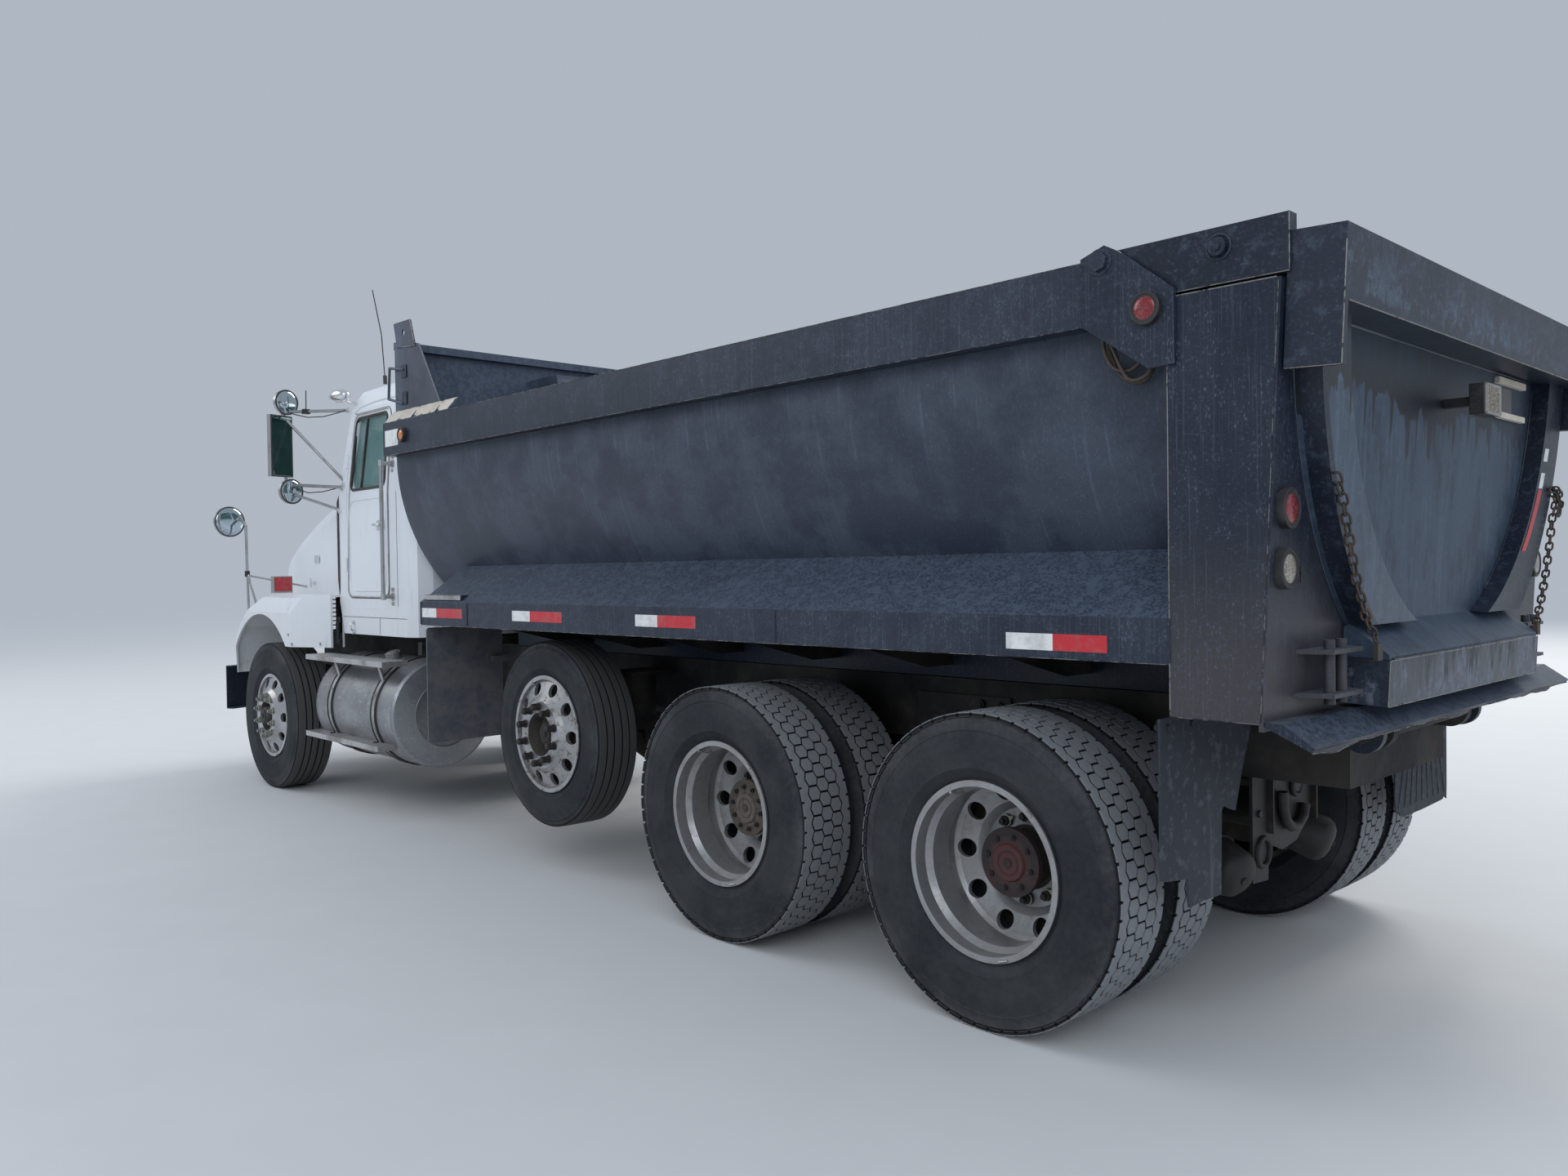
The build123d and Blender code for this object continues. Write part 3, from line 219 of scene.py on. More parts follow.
def bed_black(name="bed_black", dust=1.0, bare=0.0, sunlit_headboard=False, brown_foot=0.0, grey=0.0):
    """Blue-black paint with hairlines and chips; bare is pale worn mottling, grey an even bloom. Upward faces
    are lightened towards pale blue as a painted sky sheen with stipple.
    """
    f = Finish(name)
    z = f.axis("Z")
    broad = f.noise(0.6, 3.0, 0.5)
    blotch = f.noise(3.4, 6.0, 0.65)
    fine = f.noise(30.0, 8.0, 0.7)
    grain = f.noise(110.0, 5.0, 0.7)
    runs = f.noise(3.0, 6.0, 0.6, (16.0, 16.0, 0.45)).step(0.35, 0.90)
    hair = f.noise(4.0, 3.0, 0.5, (55.0, 55.0, 0.7)).step(0.56, 0.68)
    scratch = f.noise(5.0, 8.0, 0.75, (2.0, 9.0, 34.0)).step(0.58, 0.72)
    chips = f.cells(1.0, (130.0, 130.0, 52.0)).step(0.32, 0.20) * blotch.step(0.44, 0.56)
    chips = chips * fine.step(0.44, 0.56)
    dusty = (broad.step(0.30, 0.75) * 0.4 + blotch.step(0.42, 0.66) * 0.35 + runs * 0.4) * dust
    lying = f.up().step(0.90, 0.99) * (0.35 + fine.step(0.35, 0.65) * 0.65)
    # Painted sky sheen with real stipple: upward faces are lightened towards pale blue.
    sky_sheen_and_stipple = 0.22 + grain.step(0.48, 0.57) * 0.90 + fine.step(0.50, 0.58) * 0.70
    sky_sheen_and_stipple = f.up().step(0.25, 0.55) * sky_sheen_and_stipple
    worn = (fine * 0.5 + grain * 0.5).step(0.49, 0.60) * broad.step(0.15, 0.60) * bare
    if sunlit_headboard:
        # Painted sunlight with worn mottling: the headboard end is lightened where the sun falls on it.
        sunlit_wall = (f.axis("X") - REAR_AXLE_X).step(4.20, 4.32) * z.step(2.30, 2.45)
        worn = worn + sunlit_wall * (0.40 + fine.step(0.46, 0.56) * 0.8)
    marks = scratch * 0.55 + grain.step(0.56, 0.70) * 0.50 + hair * 0.35
    lines = f.noise(5.0, 4.0, 0.6, (9.0, 0.4, 0.30)).step(0.585, 0.645) * blotch.step(0.40, 0.60)
    # This mask holds real wear together with the painted sky sheen and the headboard's painted sunlight.
    wear_and_painted_light = (marks + chips * 0.9 + worn + sky_sheen_and_stipple + lines * grey * 0.8).low(1.0)
    # The blue of the dust colour is partly a painted sky cast.
    colour = f.blend(dusty.low(1.0), (0.0070, 0.0120, 0.0250), (0.0210, 0.0280, 0.0440))
    bloom = grey * (0.45 + blotch.step(0.38, 0.62) * 0.55)
    colour = f.blend(bloom, colour, (0.0620, 0.0780, 0.1080))
    if brown_foot:
        foot = z.step(1.75, 1.15) * broad.step(0.25, 0.60) * brown_foot
        colour = f.blend(foot, colour, (0.050, 0.046, 0.050))
    colour = f.blend(lying * 0.6, colour, (0.16, 0.15, 0.135))
    # The pale blue of the wear colour is partly a painted sky cast.
    colour = f.blend(wear_and_painted_light * 0.55, colour, (0.115, 0.150, 0.210))
    f.bump(fine * 0.4 + grain * 0.2, 0.06, 0.002)
    return f.set(
        Base_Color=colour,
        Roughness=0.36 + dusty * 0.18 + lying * 0.25 + wear_and_painted_light * 0.12,
        Metallic=wear_and_painted_light * 0.2,
        Specular_IOR_Level=0.34,
    )


def sheet_paint(f):
    """Tailgate sheet: a dark patch below the beam ends in ragged drips over dull grey paint."""
    z = f.axis("Z")
    teeth = f.noise(1.0, 3.0, 0.6, (1.0, 4.5, 0.12))
    drips = f.noise(1.0, 2.0, 0.5, (1.0, 26.0, 0.05)).step(0.52, 0.66)
    fine = f.noise(34.0, 8.0, 0.65)
    low_edge = 1.985 + (teeth - 0.5) * 0.34 - drips * 0.11 + (fine - 0.5) * 0.07
    below = (z - low_edge).step(-0.004, 0.008) * (1 - z.step(2.03, 2.17) * 0.45)
    patch = (below * (0.50 + f.axis("Y").step(-0.75, -0.25) * 0.50)).low(1.0)
    scrape = f.noise(6.0, 8.0, 0.7, (3.0, 8.0, 0.5)).step(0.52, 0.66)
    stain = f.noise(6.0, 6.0, 0.70, (1.0, 1.6, 0.7)).step(0.50, 0.62)
    streak = f.noise(2.0, 6.0, 0.65, (1.0, 17.0, 1.1)).step(0.52, 0.64)
    pale = (scrape * 0.6 + fine.step(0.52, 0.62) * 0.45 + streak * 0.45).low(1.0)
    broad = f.noise(2.0, 5.0, 0.55).step(0.25, 0.75)
    colour = f.blend(broad, (0.030, 0.048, 0.078), (0.046, 0.070, 0.108))
    colour = f.blend(stain * 0.55, colour, (0.018, 0.026, 0.042))
    colour = f.blend(pale * 0.50, colour, (0.105, 0.150, 0.210))
    return f.blend(patch * 0.92, colour, (0.0105, 0.0120, 0.0175)), patch, pale


def gate_steel():
    """Tailgate frame: dark sides, a beam with pale worn mottling and a low box with dark runs."""
    f = Finish("gate_steel")
    y = f.axis("Y")
    z = f.axis("Z")
    broad = f.noise(1.3, 3.0, 0.5)
    blotch = f.noise(5.0, 6.0, 0.65)
    fine = f.noise(26.0, 8.0, 0.72)
    grain = f.noise(95.0, 5.0, 0.7)
    streaks = f.noise(2.0, 6.0, 0.65, (1.0, 7.0, 1.2))
    runs = f.noise(8.0, 6.0, 0.70, (1.0, 1.3, 0.40)).step(0.50, 0.56)
    drop = z - TUB_Z
    face = (y * y + drop * drop).step(1.262, 1.250) * z.step(2.2035, 2.2015) * z.step(1.300, 1.340)
    beam = z.step(2.212, 2.235) * (y * y).step(1.435, 1.400)
    box = z.step(1.285, 1.262)
    mottle = (fine * 0.30 + grain * 0.15 + blotch * 0.25 + streaks * 0.30).step(0.475, 0.535)
    fading = (0.25 + z.step(2.37, 2.23) * 0.75) * (0.40 + broad.step(0.42, 0.58) * 0.60)
    worn = (beam * mottle * fading).low(1.0)
    pale_box = box * (1 - runs * 0.80) * (0.35 + fine.step(0.45, 0.55) * 0.65)
    hang = f.noise(1.0, 4.0, 0.65, (0.5, 15.0, 0.4)).step(0.40, 0.66) * 0.15
    wet = box * (z - (1.262 - hang + (fine - 0.5) * 0.04)).step(-0.006, 0.010)
    flecks = (grain.step(0.53, 0.68) * 0.6 + fine.step(0.50, 0.64) * 0.5) * (1 - box)
    sheet, _, _ = sheet_paint(f)
    colour = f.blend(broad.step(0.3, 0.7), (0.0068, 0.0110, 0.0225), (0.0190, 0.0250, 0.0400))
    colour = f.blend((worn * 0.70 + flecks * 0.38).low(1.0), colour, (0.112, 0.150, 0.205))
    colour = f.blend(pale_box * 0.95, colour, (0.130, 0.155, 0.195))
    colour = f.blend(wet * 0.88, colour, (0.014, 0.019, 0.031))
    f.bump(fine * 0.5 + grain * 0.2, 0.08, 0.002)
    return f.set(
        Base_Color=f.blend(face * y.step(-0.30, 0.10), colour, sheet),
        Roughness=0.38 + worn * 0.2 + pale_box * 0.16,
        Metallic=(worn + pale_box).low(1.0) * 0.15,
        Specular_IOR_Level=0.36,
    )


def gate_sheet():
    f = Finish("gate_sheet")
    fine = f.noise(34.0, 8.0, 0.65)
    colour, patch, pale = sheet_paint(f)
    f.bump(fine * 0.5 + patch * 0.6, 0.12, 0.002)
    return f.set(
        Base_Color=colour,
        Roughness=0.46 + fine * 0.12 - patch * 0.06,
        Metallic=0.1 + pale * 0.15,
        Specular_IOR_Level=0.36,
    )


def pale_edge_finish(name, pale, share):
    """Pale metal along an edge, broken up by what paint is left: paint rubbed through on some edges, a
    painted highlight on others.
    """
    f = Finish(name)
    left = f.noise(22.0, 6.0, 0.7).step(0.60 - share * 0.3, 0.50 - share * 0.3)
    fine = f.noise(140.0, 4.0, 0.6)
    f.bump(fine, 0.2, 0.001)
    metal = f.blend(fine, pale, (0.10, 0.095, 0.09))
    colour = f.blend(left, metal, (0.0090, 0.0115, 0.0190))
    return f.set(Base_Color=colour, Roughness=0.42 + left * 0.1, Metallic=0.30 - left * 0.3)


def chassis_grime():
    f = Finish("chassis_grime")
    broad = f.noise(2.4, 6.0, 0.6)
    fine = f.noise(34.0, 8.0, 0.7)
    mud = broad.step(0.40, 0.66) * (fine * 0.6 + 0.5)
    rust = f.noise(5.0, 8.0, 0.7).step(0.60, 0.72)
    colour = f.blend(mud, (0.0105, 0.0105, 0.0115), (0.056, 0.049, 0.042))
    colour = f.blend(rust * 0.5, colour, (0.075, 0.036, 0.022))
    colour = f.blend(f.up().step(0.3, 0.9) * 0.6, colour, (0.12, 0.105, 0.09))
    f.bump(fine + broad * 2.0, 0.45, 0.004)
    return f.set(Base_Color=colour, Roughness=0.62 + fine * 0.25, Specular_IOR_Level=0.35)


def from_axle(f, axle_x, axle_z):
    """Distance from a wheel's axis, which tells hub, rim, sidewall and tread apart."""
    x = f.axis("X") - (REAR_AXLE_X + axle_x)
    z = f.axis("Z") - axle_z
    return (x * x + z * z) ** 0.5


def tyre_rubber(name, axle_x, axle_z, tread_r, tread_grey):
    """Sidewall rubber that turns paler and dustier on the tread, with painted shade making the grooves
    near-black.
    """
    f = Finish(name)
    radius = from_axle(f, axle_x, axle_z)
    fine = f.noise(46.0, 8.0, 0.7)
    broad = f.noise(3.2, 5.0, 0.6)
    ground = radius.step(tread_r - 0.006, tread_r - 0.0018)
    # Painted shade: below the tread's top, the rubber in the grooves is made near-black.
    groove_shade = radius.step(tread_r - 0.0160, tread_r - 0.0125)
    shoulder = radius.step(tread_r - 0.085, tread_r - 0.02)
    dust = broad.step(0.36, 0.66) * 0.65 + fine.step(0.35, 0.65) * 0.35
    dust = dust * (0.38 + shoulder * 0.40)
    colour = f.blend(dust, (0.012, 0.0145, 0.0190), (0.075, 0.075, 0.078))
    colour = f.blend(groove_shade, colour, (0.005, 0.005, 0.006))
    colour = f.blend(ground * (0.60 + fine * 0.40), colour, tread_grey)
    across = Field(f, f.node("ShaderNodeCombineXYZ", {}, {"X": radius}).outputs[0])
    bands = {"wave_type": "BANDS", "bands_direction": "X"}
    rings = f.node("ShaderNodeTexWave", bands, {"Vector": across, "Scale": 55.0})
    f.bump(Field(f, rings.outputs["Fac"]) * 0.8 + fine * 0.5, 0.40, 0.0015)
    return f.set(Base_Color=colour, Roughness=0.74 + fine * 0.18, Specular_IOR_Level=0.35)


def wheel_metal(name, axle_x, axle_z, shine, dark_y, stain, flange, centre):
    """Polished wheel with a dull film. All inboard of dark_y is brown; the hub has its own colours."""
    f = Finish(name)
    radius = from_axle(f, axle_x, axle_z)
    y = f.axis("Y")
    fine = f.noise(40.0, 8.0, 0.7)
    broad = f.noise(7.0, 6.0, 0.6)
    inner = ((y * y) ** 0.5).step(dark_y + 0.002, dark_y - 0.002)
    hub = radius.step(0.1125, 0.1095)
    core = (radius + fine * 0.02).step(0.0860, 0.0800)
    film = broad.step(0.25, 0.80) * 0.40 + fine.step(0.40, 0.85) * 0.25
    film = (film + (1 - shine) * 0.55).low(0.95)
    colour = f.blend(film, (0.50, 0.51, 0.53), (0.205, 0.190, 0.175))
    spots = f.noise(26.0, 6.0, 0.75).step(0.52, 0.64) * stain
    colour = f.blend(spots * 0.75, colour, (0.14, 0.095, 0.065))
    flange = f.blend(fine.step(0.35, 0.70), flange, (0.040, 0.030, 0.025))
    centre = f.blend(fine.step(0.45, 0.75), centre, (0.050, 0.026, 0.020))
    brown = f.blend(broad.step(0.35, 0.70), (0.030, 0.025, 0.022), (0.085, 0.068, 0.054))
    colour = f.blend(inner, f.blend(core, f.blend(hub, colour, flange), centre), brown)
    dull = (hub + inner).low(1.0)
    f.bump(fine * 0.6, 0.12 + dull * 0.25, 0.001)
    return f.set(
        Base_Color=colour,
        Metallic=(0.92 - film * 0.5) * (1 - dull * 0.85),
        Roughness=0.22 + film * 0.34 + dull * 0.35 + spots * 0.2,
    )


def tank_metal():
    f = Finish("tank_metal")
    fine = f.noise(30.0, 8.0, 0.7)
    broad = f.noise(2.2, 6.0, 0.65, distortion=0.4)
    flow = f.noise(3.0, 6.0, 0.7, (10.0, 1.0, 1.0)).step(0.52, 0.74)
    flecks = f.cells(16.0, (1.0, 2.6, 2.6), "SMOOTH_F1").step(0.26, 0.14)
    film = (broad.step(0.38, 0.66) * 0.6 + flow * 0.35).low(0.9)
    colour = f.blend(film, (0.34, 0.35, 0.37), (0.165, 0.165, 0.165))
    colour = f.blend(flecks * 0.25, colour, (0.62, 0.63, 0.65))
    f.bump(fine * 0.4 + broad, 0.12, 0.003)
    rough = 0.30 + film * 0.32 + fine * 0.08
    return f.set(Base_Color=colour, Metallic=0.85 - film * 0.4, Roughness=rough)


def plain_metal(name, clean, dirty, metal=0.9, rough=0.35, grain=30.0, bump=0.15):
    """Bare or plated metal with patches of dirt."""
    f = Finish(name)
    fine = f.noise(grain, 8.0, 0.7)
    broad = f.noise(grain * 0.16, 5.0, 0.6)
    dirt = (broad.step(0.42, 0.68) * 0.65 + fine.step(0.52, 0.70) * 0.35).low(0.95)
    f.bump(fine, bump, 0.001)
    colour = f.blend(dirt, clean, dirty)
    return f.set(Base_Color=colour, Metallic=metal - dirt * metal * 0.5, Roughness=rough + dirt * 0.35)


def plain_plastic(name, clean, dusty, rough=0.45, share=0.5):
    f = Finish(name)
    fine = f.noise(60.0, 8.0, 0.7)
    broad = f.noise(6.0, 5.0, 0.6)
    dust = (broad.step(0.40, 0.70) * 0.7 + f.up().step(0.3, 0.9) * 0.5).low(1.0) * share
    f.bump(fine, 0.15, 0.0008)
    return f.set(Base_Color=f.blend(dust, clean, dusty), Roughness=rough + dust * 0.3)


def flap_rubber():
    f = Finish("flap_rubber")
    fine = f.noise(24.0, 8.0, 0.7)
    broad = f.noise(2.2, 6.0, 0.65)
    mud = f.axis("Z").step(0.86, 0.45) * 0.5 + broad.step(0.35, 0.75) * 0.5
    scrape = f.noise(7.0, 8.0, 0.7, (1.0, 1.0, 0.2)).step(0.58, 0.72)
    pale = (scrape * 0.5 + fine.step(0.52, 0.62) * 0.40).low(1.0)
    colour = f.blend(mud, (0.015, 0.021, 0.032), (0.040, 0.044, 0.054))
    colour = f.blend(pale, colour, (0.115, 0.125, 0.145))
    f.bump(fine + broad * 3.0, 0.30, 0.004)
    return f.set(Base_Color=colour, Roughness=0.66 + fine * 0.2)


def window_glass():
    f = Finish("window_glass")
    haze = f.noise(7.0, 6.0, 0.6).step(0.40, 0.72)
    colour = f.blend(haze * 0.3, (0.13, 0.27, 0.26), (0.42, 0.46, 0.44))
    return f.set(
        Base_Color=colour, Roughness=0.04 + haze * 0.10, Alpha=0.46 + haze * 0.14, Specular_IOR_Level=0.6
    )


def mirror_glass(name, silver):
    f = Finish(name)
    smear = f.noise(18.0, 6.0, 0.6).step(0.45, 0.75)
    colour = f.blend(smear * 0.25, silver, (0.30, 0.31, 0.31))
    return f.set(Base_Color=colour, Metallic=1.0, Roughness=0.03 + smear * 0.12)


def lens(name, deep, bright):
    """Moulded lens with a grid of prisms."""
    f = Finish(name)
    prism = f.cells(150.0, None, "SMOOTH_F1")
    dust = f.noise(30.0, 6.0).step(0.45, 0.75)
    colour = f.blend(prism.step(0.1, 0.6), bright, deep)
    colour = f.blend(dust * 0.35, colour, (0.20, 0.17, 0.15))
    f.bump(prism, 0.25, 0.0015)
    return f.set(Base_Color=colour, Roughness=0.22 + dust * 0.3, Coat_Weight=0.5)


def tape(name, colour, pale):
    """Reflective tape with its hexagon mesh and road film."""
    f = Finish(name)
    dirt = f.noise(16.0, 8.0, 0.65).step(0.42, 0.70)
    colour = f.blend(f.cells(260.0).step(0.30, 0.42) * 0.25, colour, pale)
    colour = f.blend(dirt * 0.4, colour, (0.22, 0.20, 0.18))
    return f.set(Base_Color=colour, Roughness=0.36 + dirt * 0.3)


def rusty(name, paint, rust, share=0.5):
    f = Finish(name)
    fine = f.noise(55.0, 8.0, 0.75)
    broad = f.noise(12.0, 6.0, 0.65)
    mask = (broad * 0.6 + fine * 0.4).step(0.62 - share * 0.3, 0.80 - share * 0.3)
    f.bump(fine, 0.5, 0.002)
    colour = f.blend(mask, paint, rust)
    return f.set(Base_Color=colour, Metallic=0.25 - mask * 0.2, Roughness=0.55 + mask * 0.3)


CAB_WHITE = cab_white()
BED_BLACK = bed_black()
# The tub's headboard end carries painted sunlight.
TUB_BLACK = bed_black("tub_black", sunlit_headboard=True, grey=0.70)
RAIL_BLACK = bed_black("rail_black", bare=0.30, grey=0.15)
FRAME_BLACK = bed_black("frame_black", 0.9, 0.14, brown_foot=1.0)
GATE_BLACK = gate_steel()
BUMPER_BLACK = bed_black("bumper_black", 0.8)
GATE_SHEET = gate_sheet()
GRIME = chassis_grime()
STEP_METAL = plain_metal("step_metal", (0.50, 0.50, 0.50), (0.17, 0.155, 0.14), 0.85, 0.36)
TANK_METAL = tank_metal()
CHROME = plain_metal("chrome", (0.80, 0.81, 0.82), (0.42, 0.40, 0.37), 1.0, 0.12, 22.0, 0.05)
ROD_CHROME = plain_metal("rod_chrome", (0.72, 0.72, 0.73), (0.40, 0.38, 0.35), 1.0, 0.16, 18.0, 0.05)
LAMP_METAL = plain_metal("lamp_metal", (0.34, 0.33, 0.31), (0.16, 0.14, 0.12), 0.7, 0.45)
TRIM_GREY = plain_plastic("trim_grey", (0.10, 0.10, 0.105), (0.22, 0.21, 0.19))
BLACK_PLASTIC = plain_plastic("black_plastic", (0.015, 0.015, 0.017), (0.12, 0.11, 0.10))
FLAP_RUBBER = flap_rubber()
WINDOW_GLASS = window_glass()
MIRROR_GLASS = mirror_glass("mirror_glass", (0.44, 0.50, 0.54))
MIRROR_METAL = plain_metal("mirror_metal", (0.40, 0.41, 0.42), (0.19, 0.18, 0.17), 0.85, 0.28)
LAMP_RED = lens("lamp_red", (0.34, 0.008, 0.014), (0.55, 0.03, 0.04))
# Painted reflection: the flat mirror's dark teal colour stands for what it reflects.
MIRROR_DARK = mirror_glass("mirror_dark", (0.10, 0.15, 0.15))
RED_LENS = lens("red_lens", (0.13, 0.005, 0.009), (0.30, 0.014, 0.022))
AMBER_LENS = lens("amber_lens", (0.45, 0.10, 0.01), (0.80, 0.25, 0.04))
CLEAR_LENS = lens("clear_lens", (0.33, 0.30, 0.26), (0.62, 0.60, 0.55))
STAINED_LENS = lens("stained_lens", (0.17, 0.145, 0.115), (0.36, 0.32, 0.26))
TAPE_WHITE = tape("tape_white", (0.66, 0.67, 0.66), (0.80, 0.81, 0.80))
TAPE_RED = tape("tape_red", (0.46, 0.012, 0.022), (0.60, 0.035, 0.045))
HUB_RED = rusty("hub_red", (0.072, 0.026, 0.026), (0.030, 0.023, 0.023), 0.95)
EDGE_PALE = pale_edge_finish("edge_pale", (0.34, 0.33, 0.31), 0.45)
# This finish also carries painted highlights along the rail's top edge and the apron lip.
EDGE_FAINT = pale_edge_finish("edge_faint", (0.20, 0.20, 0.20), 0.15)
WIRE_BROWN = rusty("wire_brown", (0.060, 0.046, 0.036), (0.100, 0.072, 0.050))
CASTING = rusty("casting", (0.026, 0.024, 0.024), (0.070, 0.054, 0.044), 0.40)
HUB_BROWN = rusty("hub_brown", (0.085, 0.070, 0.058), (0.055, 0.038, 0.028), 0.6)
CHAIN_METAL = rusty("chain_metal", (0.045, 0.038, 0.034), (0.090, 0.052, 0.034), 0.6)
GUARD_BROWN = rusty("guard_brown", (0.078, 0.088, 0.108), (0.110, 0.106, 0.108), 0.7)
NUT_BLACK = rusty("nut_black", (0.030, 0.027, 0.026), (0.10, 0.055, 0.035), 0.35)
NUT_STEEL = plain_metal("nut_steel", (0.34, 0.33, 0.31), (0.12, 0.12, 0.09), 0.8, 0.42, 60.0)
POINTER_GREEN = plain_plastic("pointer_green", (0.34, 0.42, 0.30), (0.19, 0.19, 0.15), 0.5, 0.8)
# On the rail's ledge this pale colour is partly painted sunlight.
GRIT = plain_plastic("grit", (0.60, 0.55, 0.47), (0.40, 0.35, 0.28), 0.85, 0.7)

NODE_FINISH = {}
for finish, nodes in (
    (TUB_BLACK, "bed_tub"),
    (RAIL_BLACK, "bed_sides"),
    (FRAME_BLACK, "bed_rear_frame"),
    (BED_BLACK, "bed_subframe"),
    (BLACK_PLASTIC, "bed_lamps antennas"),
    (GATE_BLACK, "gate_frame"),
    (GATE_SHEET, "gate_panel"),
    (LAMP_METAL, "gate_lamp hood_lamps"),
    (CHAIN_METAL, "gate_chains"),
    (CAB_WHITE, "cab_shell hood_shell door_left door_right"),
    (WINDOW_GLASS, "cab_glass door_glass_left door_glass_right"),
    (TRIM_GREY, "cab_interior"),
    (MIRROR_METAL, "cab_mirrors fender_mirrors"),
    (CHROME, "grille"),
    (BUMPER_BLACK, "bumper"),
    (TANK_METAL, "fuel_tanks"),
    (STEP_METAL, "tank_steps"),
    (FLAP_RUBBER, "mud_flaps"),
    (ROD_CHROME, "hoist_stage_1 hoist_stage_2 hoist_stage_3"),
):
    NODE_FINISH.update(dict.fromkeys(nodes.split(), finish))

AXLES = {
    # x, z, tyre radius, tread's grey
    "pusher": (PUSHER_X, PUSHER_Z, PUSHER_TYRE_R, (0.075, 0.073, 0.072)),
    "steer": (STEER_X, WHEEL_Z, TYRE_R, (0.080, 0.078, 0.076)),
    "forward": (FORWARD_X, WHEEL_Z, TYRE_R, (0.232, 0.240, 0.252)),
    "rear": (0.0, WHEEL_Z, TYRE_R, (0.240, 0.252, 0.268)),
}
WHEEL_LOOKS = {
    # how polished, brown inboard of y, stains, hub flange, hub centre
    "pusher": (0.70, PUSHER_WHEEL_Y + 0.070, 1.0, (0.075, 0.062, 0.052), (0.060, 0.055, 0.050)),
    "steer": (0.85, STEER_WHEEL_Y + 0.070, 0.15, (0.070, 0.066, 0.062), (0.080, 0.078, 0.075)),
    "forward": (0.35, 0.914, 0.35, (0.105, 0.085, 0.068), (0.120, 0.100, 0.085)),
    "rear": (0.45, 0.914, 0.3, (0.040, 0.032, 0.031), (0.080, 0.027, 0.027)),
}
TYRE_FINISH = {}
WHEEL_FINISH = {}
for words, (x, z, tread_r, tread_grey) in AXLES.items():
    TYRE_FINISH[words] = tyre_rubber(f"tyre_{words}", x, z, tread_r, tread_grey)
    WHEEL_FINISH[words] = wheel_metal(f"wheel_{words}", x, z, *WHEEL_LOOKS[words])

for name, node in frame["nodes"].items():
    finish = NODE_FINISH.get(name, GRIME)
    for words in AXLES:
        if words in name and name.startswith("tyre"):
            finish = TYRE_FINISH[words]
        elif words in name and name.startswith("wheel"):
            finish = WHEEL_FINISH[words]
    node.data.materials.clear()
    node.data.materials.append(finish)


# Mesh makers


def round_angles(count):
    return [2 * math.pi * n / count for n in range(count)]


def round_points(centre, axis, radius, count, turn=0.0):
    """Places set evenly round a circle about an axis."""
    axis = Vector(axis).normalized()
    side = axis.orthogonal().normalized()
    other = axis.cross(side)
    angles = [turn + a for a in round_angles(count)]
    return [centre + radius * (math.cos(a) * side + math.sin(a) * other) for a in angles]


def wheel_place(x, z, turn, radius, y):
    """Place on a wheel, by the turn about its axle and the distance from it."""
    return at(x + radius * math.cos(turn), y, z + radius * math.sin(turn))


